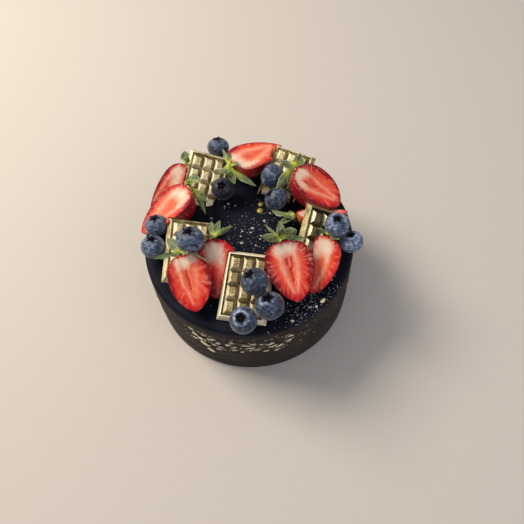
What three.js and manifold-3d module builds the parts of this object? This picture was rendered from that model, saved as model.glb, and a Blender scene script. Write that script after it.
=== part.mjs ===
// Small round celebration cake with a near-black coat, crowned with halved strawberries,
// whole blueberries and gilded chocolate bars. Millimetres, +Z up, origin at the centre of the base.
import * as THREE from 'three';
import { mergeVertices } from 'three/addons/utils/BufferGeometryUtils.js';
import Module from 'manifold-3d';

const wasm = await Module();
wasm.setup();

// Cake body
const cakeHeight = 51.5;
const topRadius = 60;
const baseRadius = 61.6;
const rimRounding = 2.6;
const rimSteps = 3;
const cakeSegments = 60;
const sideRows = 7;
const sideWave = 0.35;
const topSag = 0.35;
const footInset = 0.8;
const footHeight = 0.9;
const waveFade = 6;
const topRings = [0.72, 0.35];
const backSwell = 1.2;

// Gold on the coat: domed drops, flakes at the rim, a smear and combed dashes on the side
const dropHeightRatio = 0.55;
const goldSink = 0.35;
const domeFoot = 0.92;
const domeShoulder = 0.68;
const domeShoulderRise = 0.75;
const dashRows = [[38.5, 6], [35.5, 9], [32.5, 10], [29.5, 8], [26, 5]];
const dashSpan = [236, 290];
const dashLength = [1.1, 1.9];
const dashWidth = 0.45;
const dashHeight = 0.5;
const dashDrift = 0.4;
const dashLift = 0.7;
const dashSegments = 4;
const flakeHeight = 0.45;
const flakeSegments = 6;
const smearHeight = 0.4;
const smearSpin = -52;
const smearPath = [
  [235.4, 40, 1.2], [237.4, 35, 1.5], [240, 31, 1.7], [242.3, 27, 2.1], [245.4, 20, 2],
];

// Clearances between pieces that touch
const gap = 0.3;
const restHeight = cakeHeight + gap;

// Chocolate bar: one mould for all, three by four bevelled cells inside a raised border
const barColumns = 3;
const barRows = 4;
const cellWidth = 6.6;
const cellLength = 7.8;
const barBorder = 3.3;
const wallDraft = 1.9;
const lipWidth = 0.5;
const lipHeight = 3.6;
const floorHeight = 2.5;
const cellHeight = 4.9;
const cellBevel = 1.5;

// Strawberry halves: shape shared by all
const berryStations = 11;
const skinSegments = 10;
const faceSegments = 4;
const hollowDepth = 0.8;

// Calyx leaflets
const leafThickness = 0.5;
const leafStations = [0.38, 0.74];
const hubRadius = 2.1;
const hubCup = 0.8;
const leafFold = 0.22;
const hubHalfBase = 34;
const hubShareLimit = 76;
const calyxDrop = 1;

// Blueberries
const blueberrySegments = 15;
const crownLobes = 5;
const berryFlat = 0.9;
const crownDepth = 0.8;
const berryShape = [
  { polar: 14, reach: 0.82, lobe: 0 },
  { polar: 25, reach: 1.03, lobe: 0.06 },
  { polar: 35, reach: 0.985, lobe: 0.01 },
  { polar: 55, reach: 1, lobe: 0 },
  { polar: 78, reach: 1, lobe: 0 },
  { polar: 102, reach: 1, lobe: 0 },
  { polar: 128, reach: 1, lobe: 0 },
  { polar: 154, reach: 1, lobe: 0 },
];

const degrees = Math.PI / 180;

const finishes = {
  coat: new THREE.MeshStandardMaterial({ color: 0x1c1d24, roughness: 0.5, metalness: 0 }),
  gilt: new THREE.MeshStandardMaterial({ color: 0xc9b27a, roughness: 0.35, metalness: 0.9 }),
  fruit: new THREE.MeshStandardMaterial({ color: 0xd8402a, roughness: 0.35, metalness: 0 }),
  leaf: new THREE.MeshStandardMaterial({ color: 0x6f8a45, roughness: 0.6, metalness: 0 }),
  bloom: new THREE.MeshStandardMaterial({ color: 0x3f4c68, roughness: 0.6, metalness: 0 }),
};

// Mesh building

function meshData() {
  return { points: [], faces: [] };
}

function addPoint(data, x, y, z) {
  data.points.push(x, y, z);
  return data.points.length / 3 - 1;
}

function addQuad(data, a, b, c, d) {
  data.faces.push(a, b, c, a, c, d);
}

function toGeometry(data) {
  const geometry = new THREE.BufferGeometry();
  geometry.setAttribute('position', new THREE.Float32BufferAttribute(data.points, 3));
  geometry.setIndex(data.faces);
  return geometry;
}

// Stitches a stack of closed rings between a first and a last pole point
function ringStack(data, firstPole, rings, lastPole) {
  const count = rings[0].length;
  for (let i = 0; i < count; i++) {
    const next = (i + 1) % count;
    data.faces.push(firstPole, rings[0][i], rings[0][next]);
    for (let r = 0; r + 1 < rings.length; r++) {
      addQuad(data, rings[r][i], rings[r + 1][i], rings[r + 1][next], rings[r][next]);
    }
    data.faces.push(rings.at(-1)[i], lastPole, rings.at(-1)[next]);
  }
}

// Joining and cutting

function toSolid(geometry) {
  const bare = geometry.clone();
  for (const name of Object.keys(bare.attributes)) {
    if (name !== 'position') bare.deleteAttribute(name);
  }
  const merged = mergeVertices(bare, 1e-4);
  return new wasm.Manifold(new wasm.Mesh({
    numProp: 3,
    vertProperties: Float32Array.from(merged.attributes.position.array),
    triVerts: Uint32Array.from(merged.index.array),
  }));
}

function fromSolid(solid) {
  const result = solid.getMesh();
  const geometry = new THREE.BufferGeometry();
  geometry.setAttribute('position', new THREE.Float32BufferAttribute(result.vertProperties, 3));
  geometry.setIndex(Array.from(result.triVerts));
  return geometry;
}

function largestPart(solid) {
  const parts = solid.decompose();
  return parts.reduce((best, part) => (part.volume() > best.volume() ? part : best));
}

// Cake body with its gold

function swell(angle) {
  return backSwell * Math.max(0, Math.sin(angle));
}

function coatRadius(height, angle) {
  const taper = THREE.MathUtils.lerp(baseRadius, topRadius, height / cakeHeight);
  const waves = Math.sin(3 * angle + height * 0.31) * 0.5 + Math.sin(7 * angle - height * 0.8) * 0.5;
  const fade = Math.min(1, height / waveFade, (cakeHeight - height) / waveFade);
  return taper + swell(angle) + sideWave * waves * Math.max(0, fade);
}

function cakeBody() {
  const data = meshData();
  const ringAt = (height, radiusAt) => Array.from({ length: cakeSegments }, (_, i) => {
    const angle = (i / cakeSegments) * 2 * Math.PI;
    const radius = radiusAt(angle);
    return addPoint(data, radius * Math.cos(angle), radius * Math.sin(angle), height);
  });
  const rings = [ringAt(0, () => baseRadius - footInset)];
  const sideTop = cakeHeight - rimRounding;
  for (let row = 0; row <= sideRows; row++) {
    const height = THREE.MathUtils.lerp(footHeight, sideTop, row / sideRows);
    rings.push(ringAt(height, (angle) => coatRadius(height, angle)));
  }
  for (let step = 1; step <= rimSteps; step++) {
    const turn = (step / rimSteps) * Math.PI / 2;
    const radius = topRadius - rimRounding * (1 - Math.cos(turn));
    rings.push(ringAt(sideTop + rimRounding * Math.sin(turn), (angle) => radius + swell(angle)));
  }
  for (const share of topRings) {
    rings.push(ringAt(cakeHeight - topSag, () => topRadius * share));
  }
  const bottom = addPoint(data, 0, 0, 0);
  const top = addPoint(data, 0, 0, cakeHeight - topSag);
  ringStack(data, bottom, rings.map((ring) => ring.slice().reverse()), top);
  return toGeometry(data);
}

// Low dome lying in the XY plane, sunk a little below it
function dome(radiusX, radiusY, height, segments = 7) {
  const data = meshData();
  const ring = (scale, z) => Array.from({ length: segments }, (_, i) => {
    const angle = -(i / segments) * 2 * Math.PI;
    return addPoint(data, radiusX * scale * Math.cos(angle), radiusY * scale * Math.sin(angle), z);
  });
  const rings = [ring(domeFoot, -goldSink), ring(1, 0), ring(domeShoulder, height * domeShoulderRise)];
  ringStack(data, addPoint(data, 0, 0, -goldSink), rings, addPoint(data, 0, 0, height));
  return toGeometry(data);
}

// Drops on the top: x, y, radius along X, radius along Y
const topDrops = [
  [8.3, 22, 1.7, 1.7], [7.6, 17.3, 1.95, 1.9], [-11.2, 24, 0.9, 0.9], [-13.4, 22.1, 0.6, 0.6],
  [-7.1, 22.2, 0.65, 0.65], [9.8, 10, 0.9, 0.9], [13.5, 15.2, 0.7, 0.7], [2.6, 5.4, 1.2, 0.8],
  [1.5, 2.6, 0.9, 0.5], [-3.5, 3.7, 0.6, 0.6], [-4.4, 0.4, 0.6, 0.55], [-4, -4.2, 1.2, 0.95],
  [7.1, 0, 0.6, 0.6], [6.7, -2.3, 0.6, 0.6], [12.2, 4.9, 0.6, 0.6], [-21.4, 14.2, 0.9, 0.8],
  [3.9, -6.3, 0.6, 0.6], [-23.9, -52.3, 0.6, 0.5], [30.6, -46.5, 1.5, 0.9], [43.9, -31.6, 1, 0.7],
];

// Flakes that lie over the rim: angle round the cake, size along the rim, size across it
const rimFlakes = [[-48.9, 1.9, 1], [-53.8, 0.9, 0.7], [-69, 1, 0.7]];

// Turns a flat bit so that it lies on the side of the cake at an angle and a height
function onSide(geometry, angle, height, spin = 0) {
  const place = new THREE.Matrix4().makeRotationZ(angle * degrees)
    .multiply(new THREE.Matrix4().makeTranslation(coatRadius(height, angle * degrees), 0, height))
    .multiply(new THREE.Matrix4().makeRotationY(Math.PI / 2))
    .multiply(new THREE.Matrix4().makeRotationZ(Math.PI / 2 + spin * degrees));
  return geometry.clone().applyMatrix4(place);
}

function goldBits() {
  const bits = [];
  for (const [x, y, radiusX, radiusY] of topDrops) {
    const height = dropHeightRatio * Math.min(radiusX, radiusY);
    bits.push(dome(radiusX, radiusY, height).translate(x, y, cakeHeight - topSag));
  }
  for (const [angle, along, across] of rimFlakes) {
    const flake = dome(across, along, flakeHeight, flakeSegments);
    bits.push(flake.translate(topRadius - rimRounding, 0, cakeHeight - topSag / 2).rotateZ(angle * degrees));
  }
  for (const [angle, height, size] of smearPath) {
    bits.push(onSide(dome(size * 1.5, size * 0.8, smearHeight), angle, height, smearSpin));
  }
  const [from, to] = dashSpan;
  for (const [height, count] of dashRows) {
    for (let i = 0; i < count; i++) {
      const share = (i + 0.5 + dashDrift * Math.sin(i * 2.7 + height)) / count;
      const length = THREE.MathUtils.lerp(...dashLength, Math.abs(Math.sin(i * 1.9 + height * 0.7)));
      const lift = dashLift * Math.sin(i * 4.1 + height);
      const dash = dome(length, dashWidth, dashHeight, dashSegments);
      bits.push(onSide(dash, THREE.MathUtils.lerp(from, to, share), height + lift));
    }
  }
  return bits;
}

function cakeGeometry() {
  let body = toSolid(cakeBody());
  for (const bit of goldBits()) {
    body = body.add(toSolid(bit));
  }
  return fromSolid(largestPart(body));
}

// Chocolate bar, its back at z = 0 and its far end towards +Y

function barGeometry(grow = 0) {
  const data = meshData();
  const halfWidth = (barColumns * cellWidth) / 2;
  const halfLength = (barRows * cellLength) / 2;
  const frame = (marginX, marginY, z) => [[-1, -1], [1, -1], [1, 1], [-1, 1]].map(([sx, sy]) =>
    addPoint(data, sx * (halfWidth + marginX), sy * (halfLength + marginY), z));
  const wallTop = barBorder - wallDraft;
  const lipInner = wallTop - lipWidth;
  if (grow > 0) {
    const low = frame(barBorder + grow, barBorder + grow, -grow);
    const high = frame(wallTop + grow, wallTop + grow, cellHeight + grow);
    data.faces.push(low[0], low[2], low[1], low[0], low[3], low[2]);
    data.faces.push(high[0], high[1], high[2], high[0], high[2], high[3]);
    for (let i = 0; i < 4; i++) {
      addQuad(data, low[i], low[(i + 1) % 4], high[(i + 1) % 4], high[i]);
    }
    return toGeometry(data);
  }
  const base = frame(barBorder, barBorder, 0);
  const lipOuterRing = frame(wallTop, wallTop, lipHeight);
  const lipInnerRing = frame(lipInner, lipInner, lipHeight);
  data.faces.push(base[0], base[2], base[1], base[0], base[3], base[2]);
  for (let i = 0; i < 4; i++) {
    const next = (i + 1) % 4;
    addQuad(data, base[i], base[next], lipOuterRing[next], lipOuterRing[i]);
    addQuad(data, lipOuterRing[i], lipOuterRing[next], lipInnerRing[next], lipInnerRing[i]);
  }
  const floor = Array.from({ length: barRows + 1 }, (_, row) =>
    Array.from({ length: barColumns + 1 }, (_, column) =>
      addPoint(data, column * cellWidth - halfWidth, row * cellLength - halfLength, floorHeight)));
  const sides = [
    floor[0],
    floor.map((line) => line[barColumns]),
    floor[barRows].slice().reverse(),
    floor.map((line) => line[0]).reverse(),
  ];
  sides.forEach((points, i) => {
    const start = lipInnerRing[i];
    const end = lipInnerRing[(i + 1) % 4];
    const middle = Math.floor(points.length / 2);
    for (let p = 0; p < middle; p++) {
      data.faces.push(start, points[p + 1], points[p]);
    }
    data.faces.push(start, end, points[middle]);
    for (let p = middle; p + 1 < points.length; p++) {
      data.faces.push(end, points[p + 1], points[p]);
    }
  });
  for (let row = 0; row < barRows; row++) {
    for (let column = 0; column < barColumns; column++) {
      const [low, high] = [floor[row], floor[row + 1]];
      const foot = [low[column], low[column + 1], high[column + 1], high[column]];
      const left = column * cellWidth - halfWidth + cellBevel;
      const near = row * cellLength - halfLength + cellBevel;
      const right = left + cellWidth - 2 * cellBevel;
      const far = near + cellLength - 2 * cellBevel;
      const head = [[left, near], [right, near], [right, far], [left, far]].map(([x, y]) =>
        addPoint(data, x, y, cellHeight));
      addQuad(data, ...head);
      for (let i = 0; i < 4; i++) {
        addQuad(data, foot[i], foot[(i + 1) % 4], head[(i + 1) % 4], head[i]);
      }
    }
  }
  return toGeometry(data);
}

// Strawberry half: +Y from calyx to tip, cut face towards +Z, centre of the cut at the origin

function outline(share, widest) {
  if (share <= widest) {
    return Math.sqrt(Math.max(0, 1 - Math.pow((widest - share) / widest, 2.6)));
  }
  return Math.pow(Math.max(0, 1 - Math.pow((share - widest) / (1 - widest), 1.85)), 0.66);
}

function strawberryGeometry({ length, width, depth, widest, bend }, grow = 0) {
  const data = meshData();
  const halfWidth = width / 2 + grow;
  const fullDepth = depth + grow;
  const fullLength = length + 2 * grow;
  const stations = Array.from({ length: berryStations }, (_, i) =>
    0.5 - 0.5 * Math.cos((i / (berryStations - 1)) * Math.PI));
  const axisX = (share) => bend * Math.sin(Math.PI * share);
  const y = (share) => (share - 0.5) * fullLength;
  const first = addPoint(data, axisX(0), y(0), 0);
  const last = addPoint(data, axisX(1), y(1), 0);
  const rings = stations.slice(1, -1).map((share) => {
    const reach = outline(share, widest);
    const ring = [];
    for (let i = 0; i <= skinSegments; i++) {
      const turn = (i / skinSegments) * Math.PI;
      const x = axisX(share) + halfWidth * reach * Math.cos(turn);
      ring.push(addPoint(data, x, y(share), grow - fullDepth * reach * Math.sin(turn)));
    }
    for (let i = 1; i < faceSegments; i++) {
      const across = -1 + (2 * i) / faceSegments;
      const dip = hollowDepth * (1 - Math.abs(across)) * Math.pow(Math.sin(Math.PI * share), 2);
      ring.push(addPoint(data, axisX(share) + halfWidth * reach * across, y(share), grow - dip));
    }
    return ring.reverse();
  });
  ringStack(data, first, rings, last);
  return toGeometry(data);
}

// Calyx: a star of leaflets round the stem. The stem points along -Y, away from the fruit.
// Each leaflet: turn round the stem from +Z towards +X, opening from the stem, length, width,
// curl, and how far its blade twists to lie level with the cut face.

function calyxGeometry(leaflets) {
  const data = meshData();
  const sorted = leaflets.map(([turn, open, length, width, curl, twist]) => ({
    turn: ((turn % 360) + 360) % 360, open, length, width, curl, twist,
  })).sort((a, b) => a.turn - b.turn);
  const count = sorted.length;
  const spacing = (i) => (i + 1 < count ? sorted[i + 1].turn : sorted[0].turn + 360) - sorted[i].turn;
  const outward = (turn) => new THREE.Vector3(Math.sin(turn * degrees), 0, Math.cos(turn * degrees));
  const stem = new THREE.Vector3(0, -1, 0);
  const faceUp = new THREE.Vector3(0, 0, 1);
  const pair = (point, normal) => {
    const under = point.clone().addScaledVector(normal, -leafThickness);
    return [addPoint(data, point.x, point.y, point.z), addPoint(data, under.x, under.y, under.z)];
  };
  const hubEdge = (turn) => outward(turn).multiplyScalar(hubRadius).addScaledVector(stem, hubCup * 0.3);
  const hubPoint = (turn) => pair(hubEdge(turn), stem);
  const centre = pair(stem.clone().multiplyScalar(hubCup), stem);
  const corners = [];
  for (let i = 0; i < count; i++) {
    const step = spacing(i);
    const shared = step <= hubShareLimit;
    const after = hubPoint(sorted[i].turn + (shared ? step / 2 : hubHalfBase));
    const before = shared ? after : hubPoint(sorted[i].turn + step - hubHalfBase);
    corners.push({ after, before, shared });
  }
  const wall = (from, to) => addQuad(data, from[0], from[1], to[1], to[0]);
  const sheet = (a, b, c) => {
    data.faces.push(a[0], b[0], c[0]);
    data.faces.push(a[1], c[1], b[1]);
  };
  sorted.forEach((leaf, i) => {
    const left = corners[(i + count - 1) % count].before;
    const right = corners[i].after;
    const radial = outward(leaf.turn);
    const middle = hubPoint(leaf.turn);
    sheet(centre, middle, left);
    sheet(centre, right, middle);
    let spine = hubEdge(leaf.turn);
    let previous = { share: 0, row: [left, middle, right] };
    const leftEdge = [left];
    const rightEdge = [right];
    for (const share of [...leafStations, 1]) {
      const angle = (leaf.open + leaf.curl * share) * degrees;
      const [sine, cosine] = [Math.sin(angle), Math.cos(angle)];
      const along = stem.clone().multiplyScalar(cosine).addScaledVector(radial, sine);
      const inner = stem.clone().multiplyScalar(sine).addScaledVector(radial, -cosine);
      const level = faceUp.clone().addScaledVector(along, -faceUp.dot(along));
      const toLevel = level.dot(inner) < 0 ? -leaf.twist : leaf.twist;
      const normal = inner.multiplyScalar(1 - leaf.twist).addScaledVector(level, toLevel).normalize();
      const across = along.clone().cross(normal);
      spine = spine.clone().addScaledVector(along, leaf.length * (share - previous.share));
      if (share === 1) {
        const tip = pair(spine, normal);
        sheet(previous.row[1], tip, previous.row[0]);
        sheet(previous.row[1], previous.row[2], tip);
        leftEdge.push(tip);
        rightEdge.push(tip);
        break;
      }
      const half = (leaf.width / 2) * Math.pow(Math.sin(Math.PI * Math.pow(share, 0.85)), 0.8);
      const rise = leafFold * half;
      const lifted = spine.clone().addScaledVector(normal, rise);
      const side = (sign) => pair(lifted.clone().addScaledVector(across, sign * half), normal);
      const row = [side(-1), pair(spine, normal), side(1)];
      for (const j of [0, 1]) {
        sheet(previous.row[j], previous.row[j + 1], row[j + 1]);
        sheet(previous.row[j], row[j + 1], row[j]);
      }
      leftEdge.push(row[0]);
      rightEdge.push(row[2]);
      previous = { share, row };
    }
    for (let k = 0; k + 1 < leftEdge.length; k++) {
      wall(leftEdge[k + 1], leftEdge[k]);
      wall(rightEdge[k], rightEdge[k + 1]);
    }
    if (!corners[i].shared) {
      sheet(centre, corners[i].before, corners[i].after);
      wall(corners[i].before, corners[i].after);
    }
  });
  return toGeometry(data);
}

// Blueberry: crown towards +Z, slightly flattened, with a five-lobed rim round a dimple

function blueberryGeometry(radius) {
  const data = meshData();
  const turns = Array.from({ length: blueberrySegments }, (_, i) => (i / blueberrySegments) * 2 * Math.PI);
  const rings = berryShape.map(({ polar, reach, lobe }) => turns.map((turn) => {
    const length = radius * (reach + lobe * Math.cos(crownLobes * turn));
    const side = length * Math.sin(polar * degrees);
    const height = length * berryFlat * Math.cos(polar * degrees);
    return addPoint(data, side * Math.cos(turn), side * Math.sin(turn), height);
  }));
  const crown = addPoint(data, 0, 0, radius * berryFlat * crownDepth);
  const foot = addPoint(data, 0, 0, -radius * berryFlat);
  ringStack(data, crown, rings, foot);
  return toGeometry(data);
}

// Pieces on the cake, in millimetres and degrees. Heading is the direction of a piece's +Y in
// plan, slope lifts its +Y end and roll turns it about its +Y.

// Bars: place of the middle of the back
const bars = {
  gold_bar_back_left: { at: [-25.2, 38.1, 53.9], heading: 71.5, slope: 23, roll: 12 },
  gold_bar_back_right: { at: [24.1, 39.4, 52.4], heading: 62.9, slope: 15.5, roll: 2 },
  gold_bar_left: { at: [-33, -12, 58], heading: 85, slope: 9, roll: 16 },
  gold_bar_front: { at: [-2.3, -35.3, 56.7], heading: 78, slope: 15, roll: 1 },
  gold_bar_right: { at: [39.4, -11.8, 58.9], heading: 70.5, slope: 20.9, roll: 25.4 },
};

// Strawberry halves: place of the middle of the cut face, size, where along it the widest is
const strawberries = {
  strawberry_1: {
    at: [-30.8, -34.3, 64.4], heading: -79, slope: -21, roll: 0,
    length: 30.7, width: 22.3, depth: 11, widest: 0.42, bend: -0.2,
  },
  strawberry_2: {
    at: [-18.4, -25.3, 61.6], heading: -90, slope: -22, roll: 0,
    length: 32, width: 21, depth: 10, widest: 0.36, bend: -1.5,
  },
  strawberry_3: {
    at: [21.5, -31.3, 65], heading: -79.6, slope: -20, roll: -4,
    length: 33, width: 26, depth: 13, widest: 0.38, bend: -0.6,
  },
  strawberry_4: {
    at: [37.3, -26.6, 60.8], heading: -111.5, slope: -22, roll: 0,
    length: 32, width: 19.5, depth: 9, widest: 0.4, bend: 0,
  },
  strawberry_5: {
    at: [42, 23, 64], heading: -47.4, slope: -16, roll: -20,
    length: 32.8, width: 29, depth: 15, widest: 0.46, bend: 0,
  },
  strawberry_6: {
    at: [8.1, 49.8, 64], heading: 30.4, slope: -12, roll: -10,
    length: 36.8, width: 24.7, depth: 15, widest: 0.33, bend: -2,
  },
  strawberry_7: {
    at: [-46.5, 14.1, 63], heading: -139.5, slope: -16, roll: 24,
    length: 36.8, width: 28.5, depth: 14, widest: 0.35, bend: 0.6,
  },
  strawberry_8: {
    at: [-46.1, 31.6, 58], heading: -125.5, slope: -16, roll: -16,
    length: 37, width: 15.5, depth: 9, widest: 0.34, bend: 0,
  },
  strawberry_9: {
    at: [42.4, 6.4, 61], heading: 2.5, slope: -3.5, roll: -38,
    length: 29.5, width: 19, depth: 9, widest: 0.38, bend: 0,
  },
};

// Blueberries: place of the middle, azimuth and elevation of the crown
const blueberries = {
  blueberry_1: { at: [-15.8, 60.6, 60.3], radius: 6.7, crown: [90, 65] },
  blueberry_2: { at: [-13.5, 28.4, 60.1], radius: 6.6, crown: [-96, 72] },
  blueberry_3: { at: [16, 33.3, 63.4], radius: 7, crown: [140, 20] },
  blueberry_4: { at: [17.3, 19.8, 58.7], radius: 6.9, crown: [159, 44] },
  blueberry_5: { at: [-50.6, 3.6, 63], radius: 6.4, crown: [101, 73] },
  blueberry_6: { at: [-52, -9.6, 62.1], radius: 6.6, crown: [81, 70] },
  blueberry_7: { at: [-30.2, -12.5, 71.3], radius: 7.5, crown: [92, 74] },
  blueberry_8: { at: [2.5, -38.6, 69.8], radius: 7.2, crown: [148, 61] },
  blueberry_9: { at: [9.2, -50.2, 64.8], radius: 7.5, crown: [118, 71] },
  blueberry_10: { at: [-4.3, -56, 62.4], radius: 7, crown: [-134, 74] },
  blueberry_11: { at: [47.6, -9.1, 71.6], radius: 6.5, crown: [102, 85] },
  blueberry_12: { at: [55.4, -15.1, 63.4], radius: 6.3, crown: [124, 69] },
};

// Leaflets of each calyx: turn, opening, length, width, curl, twist
const calyxes = {
  1: [
    [123, 29, 11.8, 6, 10, 1], [83, 85, 13.7, 2.8, 10, 0.8], [-67, 113, 13.4, 1.8, 25, 0.3],
    [-22, 111, 4.8, 4, 0, 0.9], [-150, 80, 8, 4, 15, 0.5],
  ],
  2: [
    [-151, 27, 10.9, 4, 5, 0.6], [-82, 50, 10, 2.8, 25, 0.6], [165, 28, 10.9, 3, 5, 0.6],
    [20, 85, 5, 3, 10, 0.5],
  ],
  3: [
    [131, 33, 12.3, 1.6, 5, 0.7], [-165, 46, 11.6, 4.6, -35, 0.9], [2, 61, 7.1, 3, 0, 0.5],
    [-59, 61, 7.1, 5.6, 25, 0.8], [68, 72, 10.9, 4.4, 15, 0.9], [-77, 107, 10.7, 2.6, 0, 0.9],
    [20, 59, 5.6, 3.2, 0, 0.8], [-24, 59, 5.5, 3.4, 0, 0.8], [-62, 85, 4, 4, 10, 0.9],
    [57, 92, 5.5, 4, 10, 0.9],
  ],
  4: [
    [142, 43, 9.4, 2.4, 0, 0.6], [-14, 86, 4.3, 3, 0, 0.8], [-52, 102, 6.6, 3.4, 10, 0.9],
    [66, 80, 5, 2.6, 0, 0.5], [-105, 85, 7, 3.5, 10, 0.5],
  ],
  5: [
    [111, 92, 17.8, 5.4, 10, 1], [77, 47, 9.7, 6.4, 5, 1], [-93, 73, 8.2, 5, 5, 0.9],
    [114, 108, 10.1, 4, 10, 0.8], [-25, 60, 6, 4, 5, 0.5], [165, 85, 8, 4, 15, 0.5],
  ],
  6: [
    [-79, 107, 12.4, 2.2, -5, 0.6], [81, 20, 10, 5.6, 5, 1], [109, 62, 11.6, 5, 10, 1],
    [107, 104, 18.5, 5.4, 10, 1], [56, 111, 5.9, 4, 0, 0.8], [-14, 100, 6, 3.4, 10, 0.5],
  ],
  7: [
    [85, 27, 7.2, 11.5, 8, 1], [-128, 101, 17.4, 3, 10, 1], [-129, 83, 12.5, 3, 10, 0.9],
    [-39, 102, 4.6, 4, 0, 0.8], [165, 85, 7, 4, 10, 0.5],
  ],
  8: [
    [133, 42, 9.8, 5.6, 0, 1], [0, 61, 4.8, 4, 0, 0.8], [180, 80, 8, 4, 10, 0.5],
  ],
  9: [
    [-81, 32, 13.4, 7.4, 5, 1], [96, 37, 12, 5.4, 5, 1], [68, 35, 8.2, 6, 0, 0.9],
    [-77, 76, 4.2, 5, 0, 0.8],
  ],
};

// Halves that others lie on, each with the ones on top of it
const restsUnder = {
  strawberry_2: ['strawberry_1'],
  strawberry_4: ['strawberry_3'],
  strawberry_8: ['strawberry_7'],
  strawberry_9: ['strawberry_5', 'strawberry_4', 'strawberry_3'],
};

// Halves that a bar lies on, each with that bar: nothing of the half stays above it,
// or just past its far end
const liesUnder = {
  strawberry_6: 'gold_bar_back_right',
};
const clearBeyond = 2;

const cake = new THREE.Group();
const placed = {};

function addMesh(parent, name, geometry, material) {
  const mesh = new THREE.Mesh(geometry, material.clone());
  mesh.name = name;
  parent.add(mesh);
  placed[name] = mesh;
  return mesh;
}

function place(holder, { at, heading, slope, roll }) {
  holder.rotation.set(slope * degrees, roll * degrees, (heading - 90) * degrees, 'ZXY');
  holder.position.set(...at);
}

// A placed piece, or another geometry in its place, as a solid in the frame of the cake
function worldSolid(name, geometry = placed[name].geometry) {
  return toSolid(geometry.clone().applyMatrix4(placed[name].matrixWorld));
}

// Cuts solids away from a placed piece and drops the scraps
function carve(name, cutters) {
  const mesh = placed[name];
  let solid = worldSolid(name);
  for (const cutter of cutters) {
    solid = solid.subtract(cutter);
  }
  mesh.geometry = fromSolid(largestPart(solid)).applyMatrix4(mesh.matrixWorld.clone().invert());
}

addMesh(cake, 'cake', cakeGeometry(), finishes.coat);

for (const [name, pose] of Object.entries(bars)) {
  const bar = addMesh(cake, name, barGeometry(), finishes.gilt);
  place(bar, pose);
}

for (const [name, pose] of Object.entries(strawberries)) {
  const number = name.split('_')[1];
  const holder = new THREE.Group();
  place(holder, pose);
  cake.add(holder);
  addMesh(holder, name, strawberryGeometry(pose), finishes.fruit);
  const calyx = addMesh(holder, `calyx_${number}`, calyxGeometry(calyxes[number]), finishes.leaf);
  calyx.position.set(0, -pose.length / 2 - leafThickness - gap, -calyxDrop);
}

for (const [name, { at, radius, crown }] of Object.entries(blueberries)) {
  const berry = addMesh(cake, name, blueberryGeometry(radius), finishes.bloom);
  berry.position.set(...at);
  const [azimuth, elevation] = crown.map((angle) => angle * degrees);
  const axis = new THREE.Vector3(
    Math.cos(elevation) * Math.cos(azimuth),
    Math.cos(elevation) * Math.sin(azimuth),
    Math.sin(elevation),
  );
  berry.quaternion.setFromUnitVectors(new THREE.Vector3(0, 0, 1), axis);
}

cake.updateMatrixWorld(true);

// What stands in the cream ends at the top of the cake
const creamDepth = 30;
const cream = toSolid(new THREE.BoxGeometry(3 * topRadius, 3 * topRadius, creamDepth)
  .translate(0, 0, restHeight - creamDepth / 2));
for (const name of Object.keys(bars)) {
  carve(name, [cream]);
}

// Soft fruit gives way to the hard bars, the whole berries and the halves that lie on it
const envelopes = {};
for (const name of Object.keys(bars)) {
  envelopes[name] = worldSolid(name, barGeometry(gap));
}
for (const [name, { radius }] of Object.entries(blueberries)) {
  envelopes[name] = worldSolid(name, blueberryGeometry(radius + gap));
}
for (const [name, pose] of Object.entries(strawberries)) {
  envelopes[name] = worldSolid(name, strawberryGeometry(pose, gap));
}
const firm = [...Object.keys(bars), ...Object.keys(blueberries)];
for (const name of Object.keys(strawberries)) {
  const over = (restsUnder[name] ?? []).map((other) => envelopes[other]);
  if (liesUnder[name]) {
    over.push(worldSolid(liesUnder[name], barGeometry(gap).translate(0, clearBeyond, cellHeight)));
  }
  carve(name, [cream, ...firm.map((other) => envelopes[other]), ...over]);
}
for (const number of Object.keys(calyxes)) {
  carve(`calyx_${number}`, [cream, ...Object.values(envelopes)]);
}

export default cake;
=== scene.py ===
# Berry bento cake: near-black coat with gold, strawberry halves, blueberries and gilded chocolate bars.
# Sizes and places in the dictionaries are millimetres and degrees; makeObject turns them to metres.
import bmesh
import bpy
import math
import numpy as np
from mathutils import Matrix, Vector, noise


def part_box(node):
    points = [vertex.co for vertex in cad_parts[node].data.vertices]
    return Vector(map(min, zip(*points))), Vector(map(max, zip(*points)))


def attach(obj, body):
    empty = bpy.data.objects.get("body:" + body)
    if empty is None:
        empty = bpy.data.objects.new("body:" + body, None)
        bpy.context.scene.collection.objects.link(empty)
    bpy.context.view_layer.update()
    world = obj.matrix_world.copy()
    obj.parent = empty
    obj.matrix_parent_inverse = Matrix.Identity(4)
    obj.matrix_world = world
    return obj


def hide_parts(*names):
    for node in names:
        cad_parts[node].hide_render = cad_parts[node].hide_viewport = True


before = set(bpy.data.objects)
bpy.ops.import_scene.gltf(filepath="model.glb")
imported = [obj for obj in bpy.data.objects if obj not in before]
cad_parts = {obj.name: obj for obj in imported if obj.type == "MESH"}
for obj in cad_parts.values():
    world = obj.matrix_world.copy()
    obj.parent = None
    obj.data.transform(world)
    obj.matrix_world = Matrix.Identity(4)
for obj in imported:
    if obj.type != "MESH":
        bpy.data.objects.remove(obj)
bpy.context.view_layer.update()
mm = 0.001
restHeight = 51.8      # what lies on the cake stops here
touchGap = 0.3         # clearance to what presses on a soft piece


# helpers

def linear(hexText):       # sRGB hex to linear RGBA
    parts = [int(hexText[i:i + 2], 16) / 255 for i in (1, 3, 5)]
    return [c / 12.92 if c <= 0.04045 else ((c + 0.055) / 1.055) ** 2.4 for c in parts] + [1.0]


def cells(size):           # scale of a texture whose cells are this many millimetres across
    return 1 / (size * mm)


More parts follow.
